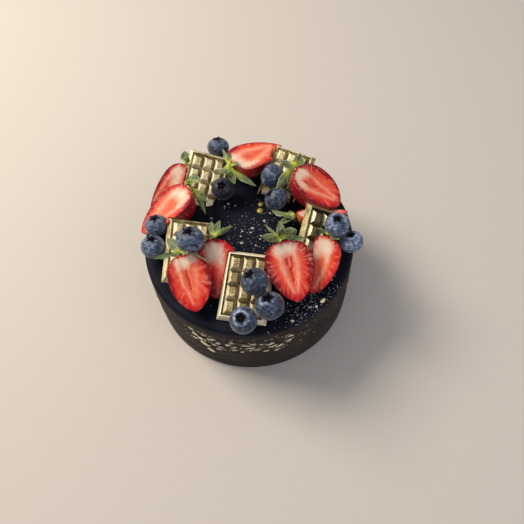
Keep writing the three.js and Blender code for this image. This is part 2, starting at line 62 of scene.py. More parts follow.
def addNode(tree, kind, inputs=None, **settings):
    node = tree.nodes.new(kind)
    for name, value in settings.items():
        setattr(node, name, value)
    for key, value in (inputs or {}).items():
        socket = node.inputs[key]
        if isinstance(value, bpy.types.NodeSocket):
            tree.links.new(value, socket)
        else:
            socket.default_value = value
    return node


def newMaterial(name):
    material = bpy.data.materials.new(name)
    material.use_nodes = True
    material.node_tree.nodes.clear()
    return material, material.node_tree


def finishMaterial(tree, inputs):         # the shader with its settings and links, and the output it feeds
    shader = addNode(tree, "ShaderNodeBsdfPrincipled", inputs)
    addNode(tree, "ShaderNodeOutputMaterial", {"Surface": shader.outputs[0]})


def ramp(node, stops):     # stops of a colour ramp: position and sRGB hex
    elements = node.color_ramp.elements
    while len(elements) > 1:
        elements.remove(elements[-1])
    for i, (position, colour) in enumerate(stops):
        element = elements[0] if i == 0 else elements.new(position)
        element.position = position
        element.color = linear(colour)
    return node


def makeObject(name, points, faces, materials, faceMaterials=None, smooth=True):
    mesh = bpy.data.meshes.new(name)
    mesh.from_pydata((np.asarray(points, float) * mm).tolist(), [], faces)
    for material in materials:
        mesh.materials.append(material)
    if faceMaterials is not None:
        mesh.polygons.foreach_set("material_index", faceMaterials)
    mesh.polygons.foreach_set("use_smooth", [smooth] * len(mesh.polygons))
    mesh.update()
    thing = bpy.data.objects.new(name, mesh)
    bpy.context.scene.collection.objects.link(thing)
    return thing


def storeField(thing, name, values):      # one number or one vector a point
    values = np.asarray(values, np.float32)
    kind, key = ("FLOAT_VECTOR", "vector") if values.ndim == 2 else ("FLOAT", "value")
    thing.data.attributes.new(name, kind, "POINT").data.foreach_set(key, values.ravel())


def settle(thing):         # what the modifiers make becomes the plain mesh
    graph = bpy.context.evaluated_depsgraph_get()
    mesh = bpy.data.meshes.new_from_object(
        thing.evaluated_get(graph), preserve_all_data_layers=True, depsgraph=graph)
    thing.modifiers.clear()
    thing.data = mesh
    return thing


def addBoolean(thing, cutter):
    modifier = thing.modifiers.new("cut", "BOOLEAN")
    modifier.operation = "DIFFERENCE"
    modifier.solver = "MANIFOLD"
    modifier.object = cutter


def newTree(name, inputs):                # a geometry tree with named inputs
    tree = bpy.data.node_groups.new(name, "GeometryNodeTree")
    tree.interface.new_socket("Geometry", in_out="OUTPUT", socket_type="NodeSocketGeometry")
    tree.interface.new_socket("Geometry", in_out="INPUT", socket_type="NodeSocketGeometry")
    for label, kind, value in inputs:
        socket = tree.interface.new_socket(label, in_out="INPUT", socket_type="NodeSocket" + kind)
        if value is not None:
            socket.default_value = value
    return tree, addNode(tree, "NodeGroupInput").outputs


def useTree(thing, tree, values):         # a geometry nodes modifier, its inputs set by identifier
    modifier = thing.modifiers.new(tree.name, "NODES")
    modifier.node_group = tree
    for item in tree.interface.items_tree:
        if item.in_out == "INPUT" and item.name in values:
            modifier[item.identifier] = values[item.name]


def ringFaces(rings, count):              # quads between consecutive rings of count points
    faces = []
    for r in range(rings - 1):
        for i in range(count):
            j = (i + 1) % count
            faces.append((r * count + i, r * count + j, (r + 1) * count + j, (r + 1) * count + i))
    return faces


def poleFaces(rings, count, low, high):   # fans from the first and last ring to a pole each
    last = (rings - 1) * count
    faces = []
    for i in range(count):
        j = (i + 1) % count
        faces += [(j, i, low), (last + i, last + j, high)]
    return faces


def smoothStep(low, high, value):
    share = np.clip((value - low) / (high - low), 0, 1)
    return share * share * (3 - 2 * share)


def plateau(value, limits):               # 0 outside the outer limits, 1 between the inner two
    start, full, fade, end = limits
    return smoothStep(start, full, value) * smoothStep(end, fade, value)


def smoothNoise(points, size, seed=0):    # noise in -1..1 at each point, with cells of this size
    shift = Vector((seed * 17.3, seed * 5.1, seed * 9.7))
    return np.array([noise.noise(Vector(p) / size + shift) for p in points])


def placement(pose):
    return (Matrix.Translation(pose["at"]) @ Matrix.Rotation(math.radians(pose["heading"] - 90), 4, "Z")
            @ Matrix.Rotation(math.radians(pose["slope"]), 4, "X")
            @ Matrix.Rotation(math.radians(pose["roll"]), 4, "Y"))


def moved(points, matrix):
    m = np.array(matrix)
    return np.asarray(points, float) @ m[:3, :3].T + m[:3, 3]


def dress(thing, slotName, *nodes):       # rides on the cake, stands for its nodes
    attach(thing, "root")
    if nodes:
        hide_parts(*nodes)


# camera, at the height and tilt from which the cake is seen

cameraPlan = {"at": (6.8, -147.4, 284.4), "tiltDown": 60.86, "roll": 3.62, "lens": 32.9, "sensor": 36}


def makeCamera(plan):
    tilt, roll = math.radians(plan["tiltDown"]), math.radians(plan["roll"])
    forward = Vector((0, math.cos(tilt), -math.sin(tilt)))
    right = Vector((1, 0, 0))
    down = forward.cross(right)
    across = math.cos(roll) * right + math.sin(roll) * down
    up = math.sin(roll) * right - math.cos(roll) * down
    turn = Matrix((across, up, -forward)).transposed()
    data = bpy.data.cameras.new("camera")
    data.lens = plan["lens"]
    data.sensor_width = plan["sensor"]
    camera = bpy.data.objects.new("camera", data)
    camera.matrix_world = Matrix.Translation(Vector(plan["at"]) * mm) @ turn.to_4x4()
    bpy.context.scene.collection.objects.link(camera)
    bpy.context.scene.camera = camera


makeCamera(cameraPlan)
print("camera set")


# materials; the sizes in their dictionaries are those of each pattern's cells

# top and side: one near-black coat with painted reflection, a bluish sky sheen on top and the table's warm
# reflection on the side
coatFinish = {
    "top": [(0.3, "#10131c"), (0.7, "#181b26")], "side": [(0.3, "#302a28"), (0.7, "#403835")],
    "paintedSheenFrom": 44, "paintedSheenFull": 50.5, "cloud": 14.286, "knifeMark": 4.167, "knifeStretch": 5,
    "crumb": 0.7143, "roughness": (0.46, 0.6),
}


def coatMaterial(plan):
    # Black buttercream, spread with a palette knife and chilled: fat gives a satin sheen. Its near-black colour
    # has
    # painted reflection in it: blue-black on top for the sky's sheen, brown-black where the side faces the
    # table.
    material, tree = newMaterial("blackButtercreamSpread")
    place = addNode(tree, "ShaderNodeTexCoord").outputs["Object"]
    cloud = addNode(tree, "ShaderNodeTexNoise", {
        "Vector": place, "Scale": cells(plan["cloud"]), "Detail": 4.0})
    split = addNode(tree, "ShaderNodeSeparateXYZ", {0: place})
    # blend by height from the side's painted table reflection to the top's painted sky sheen
    height = addNode(tree, "ShaderNodeMapRange", {
        "Value": split.outputs["Z"], "From Min": plan["paintedSheenFrom"] * mm, "From Max": plan["paintedSheenFull"] * mm})
    top = ramp(addNode(tree, "ShaderNodeValToRGB", {0: cloud.outputs["Fac"]}), plan["top"])
    side = ramp(addNode(tree, "ShaderNodeValToRGB", {0: cloud.outputs["Fac"]}), plan["side"])
    colourWithPaintedSheen = addNode(tree, "ShaderNodeMix", {0: height.outputs[0], 6: side.outputs[0], 7: top.outputs[0]},
                    data_type="RGBA")
    knife = addNode(tree, "ShaderNodeMapping", {"Vector": place, "Scale": (1.0, 1.0, plan["knifeStretch"])})
    marks = addNode(tree, "ShaderNodeTexNoise", {
        "Vector": knife.outputs[0], "Scale": cells(plan["knifeMark"]), "Detail": 3.0})
    grain = addNode(tree, "ShaderNodeTexNoise", {
        "Vector": place, "Scale": cells(plan["crumb"]), "Detail": 2.0})
    marked = addNode(tree, "ShaderNodeBump", {
        "Height": marks.outputs["Fac"], "Strength": 0.25, "Distance": 0.8 * mm})
    grained = addNode(tree, "ShaderNodeBump", {
        "Height": grain.outputs["Fac"], "Strength": 0.12, "Distance": 0.2 * mm, "Normal": marked.outputs[0]})
    smoothest, roughest = plan["roughness"]
    rough = addNode(tree, "ShaderNodeMapRange", {
        "Value": cloud.outputs["Fac"], "To Min": smoothest, "To Max": roughest})
    finishMaterial(tree, {
        "Base Color": colourWithPaintedSheen.outputs[2], "Roughness": rough.outputs[0], "IOR": 1.4, "Specular IOR Level": 0.08,
        "Normal": grained.outputs[0]})
    return material


lustreFinishes = {   # the fullest cover, the thinnest, and the range of roughness
    "goldLustrePaint": ("#fff0d0", "#d2ba90", 0.36, 0.52),
    "goldLustreDrop": ("#b3a455", "#8c8042", 0.42, 0.58),
    "mineralDustOlive": ("#bab9a6", "#84826a", 0.42, 0.6),
    "mineralDustPale": ("#ccced2", "#888b92", 0.4, 0.6),
}
lustreGrain = 0.4545


def lustreMaterial(name):
    # Edible lustre dust brushed on or flicked with alcohol: a mica film, so it shines like a pale
    # satin metal, a little grainy, and thins out to what is under it.
    full, thin, roughLow, roughHigh = lustreFinishes[name]
    material, tree = newMaterial(name)
    place = addNode(tree, "ShaderNodeTexCoord").outputs["Object"]
    grain = addNode(tree, "ShaderNodeTexNoise", {"Vector": place, "Scale": cells(lustreGrain), "Detail": 2.0})
    cover = ramp(addNode(tree, "ShaderNodeValToRGB", {0: grain.outputs["Fac"]}), [(0.3, thin), (0.6, full)])
    rough = addNode(tree, "ShaderNodeMapRange", {
        "Value": grain.outputs["Fac"], "To Min": roughLow, "To Max": roughHigh})
    bump = addNode(tree, "ShaderNodeBump", {
        "Height": grain.outputs["Fac"], "Strength": 0.2, "Distance": 0.1 * mm})
    finishMaterial(tree, {
        "Base Color": cover.outputs[0], "Metallic": 0.4, "Roughness": rough.outputs[0],
        "Normal": bump.outputs[0]})
    return material


# cover runs from bare chocolate to thick gold; the face field it reads carries painted light and painted shade
barFinish = {
    "cover": [(0.0, "#22180c"), (0.18, "#4b3b20"), (0.4, "#8f7f50"), (0.6, "#cdbc8a"), (0.78, "#fff5cf")],
    "dust": 0.9091, "dustSpread": 0.9, "patch": 4.762, "patchSpread": 0.7, "metallic": (0.15, 0.32),
    "roughness": (0.3, 0.52),
}


def barMaterial(plan):
    # Moulded dark chocolate with pale gold lustre dust. Its cover paints light and shade: bright on the slopes
    # that face the light from the left, thinner on the flats, painted shade of bare brown in the grooves and
    # lee slopes; the noise is uneven dust.
    material, tree = newMaterial("chocolateGilded")
    place = addNode(tree, "ShaderNodeTexCoord").outputs["Object"]
    # per-face cover: painted light on slopes facing the light, painted shade in the grooves, and the bar's dust
    dustAndPaintedLight = addNode(tree, "ShaderNodeAttribute", attribute_name="dustAndPaintedLight").outputs["Fac"]
    dust = addNode(tree, "ShaderNodeTexNoise", {
        "Vector": place, "Scale": cells(plan["dust"]), "Detail": 3.0, "Roughness": 0.7})
    patch = addNode(tree, "ShaderNodeTexNoise", {
        "Vector": place, "Scale": cells(plan["patch"]), "Detail": 3.0})
    cover = dustAndPaintedLight
    for pattern, spread in ((dust, plan["dustSpread"]), (patch, plan["patchSpread"])):
        centred = addNode(tree, "ShaderNodeMath", {0: pattern.outputs["Fac"], 1: 0.5}, operation="SUBTRACT")
        cover = addNode(tree, "ShaderNodeMath", {0: centred.outputs[0], 1: spread, 2: cover},
                        operation="MULTIPLY_ADD").outputs[0]
    gold = ramp(addNode(tree, "ShaderNodeValToRGB", {0: cover}), plan["cover"])
    bare, gilt = plan["metallic"]
    metal = addNode(tree, "ShaderNodeMapRange", {
        "Value": cover, "From Max": 0.5, "To Min": bare, "To Max": gilt})
    smoothest, roughest = plan["roughness"]
    rough = addNode(tree, "ShaderNodeMapRange", {
        "Value": dust.outputs["Fac"], "To Min": smoothest, "To Max": roughest})
    bump = addNode(tree, "ShaderNodeBump", {
        "Height": dust.outputs["Fac"], "Strength": 0.35, "Distance": 0.2 * mm})
    finishMaterial(tree, {
        "Base Color": gold.outputs[0], "Metallic": metal.outputs[0], "Roughness": rough.outputs[0],
        "Normal": bump.outputs[0]})
    return material


fleshFinish = {   # the two ramps run from the rim inwards, over depthRange millimetres
    "ruddy": [(0.0, "#780816"), (0.1, "#ac101c"), (0.3, "#cb1f1c"), (0.6, "#da3422"), (0.9, "#e0482c")],
    "orange": [(0.0, "#8e0c16"), (0.1, "#c0211c"), (0.28, "#d43d22"), (0.55, "#dc542f"), (0.9, "#dd6642")],
    # slit: a darker red painted into the gaps of the core as shade
    "strand": "#eda184", "cream": "#e2ccb2", "slit": "#a0141a", "depthRange": 8.0, "mottle": 2.381,
    "rimWaver": 2.4, "roughness": (0.3, 0.5),
}


def fleshMaterial(plan):
    # Strawberry flesh cut with a knife: wet, slightly translucent, cream under the calyx, red at the
    # rim, with pale strands that run down both sides of the core and finer ones out to the seeds.
    material, tree = newMaterial("strawberryCutFlesh")
    place = addNode(tree, "ShaderNodeTexCoord").outputs["Object"]
    cutField = addNode(tree, "ShaderNodeAttribute", attribute_name="cutField").outputs["Vector"]
    rim, strand, cream = addNode(tree, "ShaderNodeSeparateXYZ", {0: cutField}).outputs
    veinField = addNode(tree, "ShaderNodeAttribute", attribute_name="veinField").outputs["Vector"]
    vein, slit, tone = addNode(tree, "ShaderNodeSeparateXYZ", {0: veinField}).outputs
    mottle = addNode(tree, "ShaderNodeTexNoise", {
        "Vector": place, "Scale": cells(plan["mottle"]), "Detail": 3.0})
    centred = addNode(tree, "ShaderNodeMath", {0: mottle.outputs["Fac"], 1: 0.5}, operation="SUBTRACT")
    wobble = centred.outputs[0]
    depth = addNode(tree, "ShaderNodeMath", {0: wobble, 1: plan["rimWaver"], 2: rim},
                    operation="MULTIPLY_ADD")
    inward = addNode(tree, "ShaderNodeMath", {0: depth.outputs[0], 1: plan["depthRange"]}, operation="DIVIDE")
    ruddy = ramp(addNode(tree, "ShaderNodeValToRGB", {0: inward.outputs[0]}), plan["ruddy"])
    orange = ramp(addNode(tree, "ShaderNodeValToRGB", {0: inward.outputs[0]}), plan["orange"])
    body = addNode(tree, "ShaderNodeMix", {0: tone, 6: ruddy.outputs[0], 7: orange.outputs[0]},
                   data_type="RGBA")
    fine = addNode(tree, "ShaderNodeMath", {0: vein, 1: 0.6}, operation="MULTIPLY")
    pale = addNode(tree, "ShaderNodeMath", {0: strand, 1: fine.outputs[0]}, operation="MAXIMUM")
    uneven = addNode(tree, "ShaderNodeMath", {0: wobble, 1: 0.9, 2: 1.0}, operation="MULTIPLY_ADD")
    paleShare = addNode(tree, "ShaderNodeMath", {0: pale.outputs[0], 1: uneven.outputs[0]},
                        operation="MULTIPLY", use_clamp=True)
    strands = addNode(tree, "ShaderNodeMix", {
        0: paleShare.outputs[0], 6: body.outputs[2], 7: linear(plan["strand"])}, data_type="RGBA")
    creamWobble = addNode(tree, "ShaderNodeMath", {0: wobble, 1: 0.6, 2: cream}, operation="MULTIPLY_ADD")
    creamShare = addNode(tree, "ShaderNodeMapRange", {
        "Value": creamWobble.outputs[0], "From Min": 0.02, "From Max": 0.95})
    creamed = addNode(tree, "ShaderNodeMix", {
        0: creamShare.outputs[0], 6: strands.outputs[2], 7: linear(plan["cream"])}, data_type="RGBA")
    # the gaps of the core are painted a darker red: painted shade inside them
    whole = addNode(tree, "ShaderNodeMix", {0: slit, 6: creamed.outputs[2], 7: linear(plan["slit"])},
                    data_type="RGBA")
    smoothest, roughest = plan["roughness"]
    rough = addNode(tree, "ShaderNodeMapRange", {
        "Value": mottle.outputs["Fac"], "To Min": smoothest, "To Max": roughest})
    grained = addNode(tree, "ShaderNodeBump", {
        "Height": mottle.outputs["Fac"], "Strength": 0.3, "Distance": 0.3 * mm})
    stringy = addNode(tree, "ShaderNodeBump", {
        "Height": pale.outputs[0], "Strength": 0.3, "Distance": 0.2 * mm, "Normal": grained.outputs[0]})
    finishMaterial(tree, {
        "Base Color": whole.outputs[2], "Roughness": rough.outputs[0], "IOR": 1.38,
        "Normal": stringy.outputs[0], "Subsurface Weight": 0.12, "Subsurface Radius": (1.0, 0.2, 0.12),
        "Subsurface Scale": 0.5 * mm, "Specular IOR Level": 0.3, "Coat Weight": 0.06, "Coat Roughness": 0.2})
    return material


skinFinish = {   # from the shoulder under the calyx to the tip
    "body": [(0.08, "#c07038"), (0.17, "#aa1c20"), (0.35, "#8e0c1c"), (0.8, "#740a18")], "mottle": 3.846,
}


def skinMaterial(plan):
    # Ripe strawberry skin: thin, waxy and tight, so it is deep crimson with small sharp highlights,
    # paler and yellower round the shoulder under the calyx.
    material, tree = newMaterial("strawberrySkinRipe")
    place = addNode(tree, "ShaderNodeTexCoord").outputs["Object"]
    share = addNode(tree, "ShaderNodeAttribute", attribute_name="skinShare").outputs["Fac"]
    mottle = addNode(tree, "ShaderNodeTexNoise", {
        "Vector": place, "Scale": cells(plan["mottle"]), "Detail": 3.0})
    drift = addNode(tree, "ShaderNodeMath", {0: mottle.outputs["Fac"], 1: 0.16, 2: share},
                    operation="MULTIPLY_ADD")
    body = ramp(addNode(tree, "ShaderNodeValToRGB", {0: drift.outputs[0]}), plan["body"])
    bump = addNode(tree, "ShaderNodeBump", {
        "Height": mottle.outputs["Fac"], "Strength": 0.15, "Distance": 0.4 * mm})
    finishMaterial(tree, {
        "Base Color": body.outputs[0], "Roughness": 0.3, "IOR": 1.4, "Normal": bump.outputs[0],
        "Subsurface Weight": 0.1, "Subsurface Radius": (1.0, 0.2, 0.1), "Subsurface Scale": 1 * mm,
        "Coat Weight": 0.5, "Coat Roughness": 0.12})
    return material


seedFinish = {"body": [(0.35, "#a84c30"), (0.6, "#d68a60")], "patch": 2.857}


def seedMaterial(plan):
    # Strawberry achenes: dry little nuts, straw-yellow to amber, with a faint varnish.
    material, tree = newMaterial("strawberrySeedDry")
    place = addNode(tree, "ShaderNodeTexCoord").outputs["Object"]
    patch = addNode(tree, "ShaderNodeTexNoise", {"Vector": place, "Scale": cells(plan["patch"])})
    body = ramp(addNode(tree, "ShaderNodeValToRGB", {0: patch.outputs["Fac"]}), plan["body"])
    finishMaterial(tree, {"Base Color": body.outputs[0], "Roughness": 0.38, "IOR": 1.5})
    return material


leafFinish = {   # midrib, border, vein and root: where each starts, where it is full, and how strong
    "body": [(0.3, "#33431f"), (0.55, "#4a5b2e"), (0.75, "#61713d")], "pale": "#8f9c6e", "young": "#b6c446",
    "mottle": 2.632, "veinSlant": 2.2, "veinCount": 26.0,
    "midrib": (0.1, 0.02, 0.7), "border": (0.72, 1.0, 0.8), "vein": (0.75, 1.0, 0.35),
    "root": (0.44, 0.12, 0.95),
}


def leafMaterial(plan):
    # Fresh strawberry sepals: soft and finely hairy, so matt, mid green with a pale rim and midrib,
    # yellow-green where they join the hub.
    material, tree = newMaterial("sepalFreshGreen")
    place = addNode(tree, "ShaderNodeTexCoord").outputs["Object"]
    leafField = addNode(tree, "ShaderNodeAttribute", attribute_name="leafField").outputs["Vector"]
    across, share, paleness = addNode(tree, "ShaderNodeSeparateXYZ", {0: leafField}).outputs
    side = addNode(tree, "ShaderNodeMath", {0: across}, operation="ABSOLUTE").outputs[0]
    mottle = addNode(tree, "ShaderNodeTexNoise", {
        "Vector": place, "Scale": cells(plan["mottle"]), "Detail": 3.0})
    body = ramp(addNode(tree, "ShaderNodeValToRGB", {0: mottle.outputs["Fac"]}), plan["body"])
    rise = addNode(tree, "ShaderNodeMath", {0: side, 1: plan["veinSlant"], 2: share},
                   operation="MULTIPLY_ADD")
    wave = addNode(tree, "ShaderNodeMath", {0: rise.outputs[0], 1: plan["veinCount"]}, operation="MULTIPLY")
    wave = addNode(tree, "ShaderNodeMath", {0: wave.outputs[0]}, operation="SINE")
    lines = []
    for pattern, limits in ((wave.outputs[0], plan["vein"]), (side, plan["midrib"]), (side, plan["border"])):
        start, full, strength = limits
        line = addNode(tree, "ShaderNodeMapRange", {
            "Value": pattern, "From Min": start, "From Max": full, "To Max": strength})
        lines.append(line.outputs[0])
    light = addNode(tree, "ShaderNodeMath", {0: lines[0], 1: lines[1]}, operation="MAXIMUM")
    light = addNode(tree, "ShaderNodeMath", {0: light.outputs[0], 1: lines[2]}, operation="MAXIMUM")
    light = addNode(tree, "ShaderNodeMath", {0: light.outputs[0], 1: paleness}, operation="ADD",
                    use_clamp=True)
    leaf = addNode(tree, "ShaderNodeMix", {
        0: light.outputs[0], 6: body.outputs[0], 7: linear(plan["pale"])}, data_type="RGBA")
    start, full, strength = plan["root"]
    young = addNode(tree, "ShaderNodeMapRange", {
        "Value": share, "From Min": start, "From Max": full, "To Max": strength})
    whole = addNode(tree, "ShaderNodeMix", {
        0: young.outputs[0], 6: leaf.outputs[2], 7: linear(plan["young"])}, data_type="RGBA")
    veined = addNode(tree, "ShaderNodeBump", {
        "Height": light.outputs[0], "Strength": 0.35, "Distance": 0.2 * mm})
    grained = addNode(tree, "ShaderNodeBump", {
        "Height": mottle.outputs["Fac"], "Strength": 0.3, "Distance": 0.3 * mm, "Normal": veined.outputs[0]})
    finishMaterial(tree, {
        "Base Color": whole.outputs[2], "Roughness": 0.5, "IOR": 1.42, "Normal": grained.outputs[0],
        "Subsurface Weight": 0.15, "Subsurface Radius": (0.5, 1.0, 0.2), "Subsurface Scale": 0.6 * mm,
        "Sheen Weight": 0.15})
    return material


bloomFinish = {   # from bare skin to the thickest wax
    "skin": [(0.24, "#10131b"), (0.4, "#222b3c"), (0.53, "#425068"), (0.67, "#71809a"), (0.84, "#a9b5c8")],
    "crown": "#0c0908", "cloud": 3.125, "fleck": 1.3158, "middle": 0.53, "spread": 0.85,
    "roughness": (0.36, 0.62), "glint": (0.45, 0.05), "veil": 0.2,
}


def bloomMaterial(plan):
    # Highbush blueberry: near-black purple skin under a pale waxy bloom that scatters light, rubbed
    # thin in patches, and a dry brown-black crown, its hollow painted near-black partly as shade.
    material, tree = newMaterial("blueberryWaxBloom")
    place = addNode(tree, "ShaderNodeTexCoord").outputs["Object"]
    bloomField = addNode(tree, "ShaderNodeAttribute", attribute_name="bloomField").outputs["Vector"]
    hollow, level, ringPale = addNode(tree, "ShaderNodeSeparateXYZ", {0: bloomField}).outputs
    cloud = addNode(tree, "ShaderNodeTexNoise", {
        "Vector": place, "Scale": cells(plan["cloud"]), "Detail": 4.0, "Roughness": 0.62, "Distortion": 0.7})
    fleck = addNode(tree, "ShaderNodeTexNoise", {
        "Vector": place, "Scale": cells(plan["fleck"]), "Detail": 3.0, "Roughness": 0.65, "Distortion": 0.5})
    both = addNode(tree, "ShaderNodeMath", {0: cloud.outputs["Fac"], 1: fleck.outputs["Fac"]},
                   operation="ADD")
    centred = addNode(tree, "ShaderNodeMath", {0: both.outputs[0], 1: 1.0}, operation="SUBTRACT")
    lifted = addNode(tree, "ShaderNodeMath", {0: level, 1: plan["middle"]}, operation="ADD")
    spread = addNode(tree, "ShaderNodeMath", {0: centred.outputs[0], 1: plan["spread"], 2: lifted.outputs[0]},
                     operation="MULTIPLY_ADD")
    wax = addNode(tree, "ShaderNodeMath", {0: spread.outputs[0], 1: ringPale}, operation="ADD").outputs[0]
    skinTone = ramp(addNode(tree, "ShaderNodeValToRGB", {0: wax}), plan["skin"])
    # the hollow takes the crown colour: the dry crown's own dark, made near-black as painted shade inside the
    # hollow
    whole = addNode(tree, "ShaderNodeMix", {0: hollow, 6: skinTone.outputs[0], 7: linear(plan["crown"])},
                    data_type="RGBA")
    bare, waxed = plan["roughness"]
    rough = addNode(tree, "ShaderNodeMapRange", {
        "Value": wax, "From Min": 0.3, "From Max": 0.75, "To Min": bare, "To Max": waxed})
    bump = addNode(tree, "ShaderNodeBump", {
        "Height": fleck.outputs["Fac"], "Strength": 0.4, "Distance": 0.4 * mm})
    skinGlint, crownGlint = plan["glint"]
    glint = addNode(tree, "ShaderNodeMapRange", {
        "Value": hollow, "To Min": skinGlint, "To Max": crownGlint})
    veil = addNode(tree, "ShaderNodeMapRange", {"Value": hollow, "To Min": plan["veil"], "To Max": 0.0})
    finishMaterial(tree, {
        "Base Color": whole.outputs[2], "Roughness": rough.outputs[0], "IOR": 1.42, "Normal": bump.outputs[0],
        "Specular IOR Level": glint.outputs[0], "Sheen Weight": veil.outputs[0], "Sheen Roughness": 0.5})
    return material


coat = coatMaterial(coatFinish)
goldPaint, goldDrop, oliveDust, silverDust = [lustreMaterial(name) for name in lustreFinishes]
gildedBar = barMaterial(barFinish)
flesh = fleshMaterial(fleshFinish)
skin = skinMaterial(skinFinish)
seedCoat = seedMaterial(seedFinish)
sepal = leafMaterial(leafFinish)
bloom = bloomMaterial(bloomFinish)
print("materials made")


# cake body

cakePlan = {   # a mark has a length round the cake and a height
    "height": 51.5, "topRadius": 60, "baseRadius": 61.6, "rimRounding": 2.6, "topSag": 0.35, "backSwell": 1.2,
    "footRounding": 0.9, "footInset": 0.8, "footFrom": 0.35, "sideFrom": 1.3, "sideWave": 0.35, "waveFade": 6,
    "turns": 540, "footRows": 3, "sideRows": 86, "rimRows": 8, "topRows": 34,
    "baseShares": (0.3, 0.7, 0.987), "topShares": (0.97, 0.02), "sagShares": (1.0, 0.75),
    "combed": (16, 25, 43, 49), "combDepth": 0.32, "combMark": (3.6, 0.8),
    "knifeDepth": 0.12, "knifeMark": (16, 5), "topWave": 0.07, "topWaveLength": 9,
}
strewnPlan = {   # where specks, crumbs and dashes lie: angles in degrees, levels and radii in mm
    "dashAngles": (226, 242, 272, 326), "dashLevels": (22, 28, 40, 47), "dashClump": (9, 3),
    "crumbAngles": (272, 296, 312, 335), "crumbLevels": (40, 52), "crumbRadii": (40, 54), "crumbsAbove": 49,
    "driftMiddle": (2, 3), "driftReach": (34, 18), "driftSlant": (0.55, 1.14), "driftEdge": (48, 54),
}


def coatRadius(height, angle, plan=cakePlan):
    taper = plan["baseRadius"] + (plan["topRadius"] - plan["baseRadius"]) * height / plan["height"]
    waves = 0.5 * np.sin(3 * angle + height * 0.31) + 0.5 * np.sin(7 * angle - height * 0.8)
    fade = np.clip(np.minimum(height, plan["height"] - height) / plan["waveFade"], 0, 1)
    swell = plan["backSwell"] * np.maximum(0, np.sin(angle))
    return taper + swell + plan["sideWave"] * waves * fade


def coatRows(plan, angle):     # height and radii of each ring, from the underside up and over the rim
    sideTop = plan["height"] - plan["rimRounding"]
    rows = [(0, np.zeros_like(angle) + plan["baseRadius"] * share) for share in plan["baseShares"]]
    for height in np.linspace(plan["footFrom"], plan["footRounding"], plan["footRows"]):
        inset = plan["footInset"] * (plan["footRounding"] - height) / plan["footRounding"]
        rows.append((height, coatRadius(height, angle) - inset))
    for height in np.linspace(plan["sideFrom"], sideTop, plan["sideRows"]):
        rows.append((height, coatRadius(height, angle)))
    swell = plan["backSwell"] * np.maximum(0, np.sin(angle))
    for step in range(1, plan["rimRows"] + 1):
        turn = step / plan["rimRows"] * math.pi / 2
        radius = plan["topRadius"] - plan["rimRounding"] * (1 - math.cos(turn)) + swell
        rows.append((sideTop + plan["rimRounding"] * math.sin(turn), radius))
    edge = plan["topRadius"] - plan["rimRounding"] + swell
    for share in np.linspace(*plan["topShares"], plan["topRows"]):
        sag = plan["topSag"] * smoothStep(*plan["sagShares"], share)
        rows.append((plan["height"] - sag, edge * share))
    return rows


def sideNoise(turn, height, mark, seed, radius=cakePlan["topRadius"]):
    wide, tall = mark
    return smoothNoise(np.column_stack([np.cos(turn) * radius / wide, np.sin(turn) * radius / wide,
                                        height / tall]), 1.0, seed)


def makeCoat(plan, strewn):
    angle = np.linspace(0, 2 * math.pi, plan["turns"], endpoint=False)
    rows = coatRows(plan, angle)
    height = np.concatenate([np.full_like(angle, h) for h, _ in rows])
    radius = np.concatenate([r for _, r in rows])
    turn = np.tile(angle, len(rows))
    band = plateau(height, plan["combed"])
    relief = plan["combDepth"] * band * sideNoise(turn, height, plan["combMark"], 0) \
        + plan["knifeDepth"] * sideNoise(turn, height, plan["knifeMark"], 3)
    radius = radius + relief * plateau(height, (0.5, 3, plan["height"] - 3, plan["height"] - 0.6))
    points = np.column_stack([radius * np.cos(turn), radius * np.sin(turn), height])
    onTop = (height > plan["height"] - 0.7) & (radius < plan["topRadius"] - 2)
    points[onTop, 2] += plan["topWave"] * smoothNoise(points[onTop], plan["topWaveLength"], 5)
    points = np.vstack([points, [0, 0, 0], [0, 0, plan["height"] - plan["topSag"]]])
    under, over = len(points) - 2, len(points) - 1
    faces = ringFaces(len(rows), plan["turns"]) + poleFaces(len(rows), plan["turns"], under, over)
    thing = makeObject("cakeCoat", points, faces, [coat])

    degrees = np.degrees(turn) % 360
    wide, tall = strewn["dashClump"]
    clump = smoothNoise(np.column_stack([turn * plan["topRadius"] / wide, 0 * turn, height / tall]), 1.0, 12)
    dashes = band * plateau(height, strewn["dashLevels"]) * plateau(degrees, strewn["dashAngles"]) \
        * smoothStep(-0.15, 0.35, clump)
    crumbs = plateau(degrees, strewn["crumbAngles"]) * smoothStep(*strewn["crumbLevels"], height) \
        * smoothStep(*strewn["crumbRadii"], radius) * (height > strewn["crumbsAbove"])
    x, y = points[:-2, 0], points[:-2, 1]
    slant, slantLength = strewn["driftSlant"]
    along = (x + y * slant) / slantLength
    across = (y - x * slant) / slantLength
    (middleX, middleY), (reachX, reachY) = strewn["driftMiddle"], strewn["driftReach"]
    drift = np.exp(-((along - middleX) / reachX) ** 2 - ((across - middleY) / reachY) ** 2)
    inner, outer = strewn["driftEdge"]
    specks = drift * smoothStep(outer, inner, radius) * (height > plan["height"] - 0.8)
    for name, values in (("dashes", dashes), ("crumbs", crumbs), ("specks", specks)):
        storeField(thing, name, np.append(values, [0, 1 if name == "specks" else 0]))
    return thing


cakeCoat = makeCoat(cakePlan, strewnPlan)
dress(cakeCoat, "coat", "cake")
print("coat made", len(cakeCoat.data.polygons))


# gold on the coat

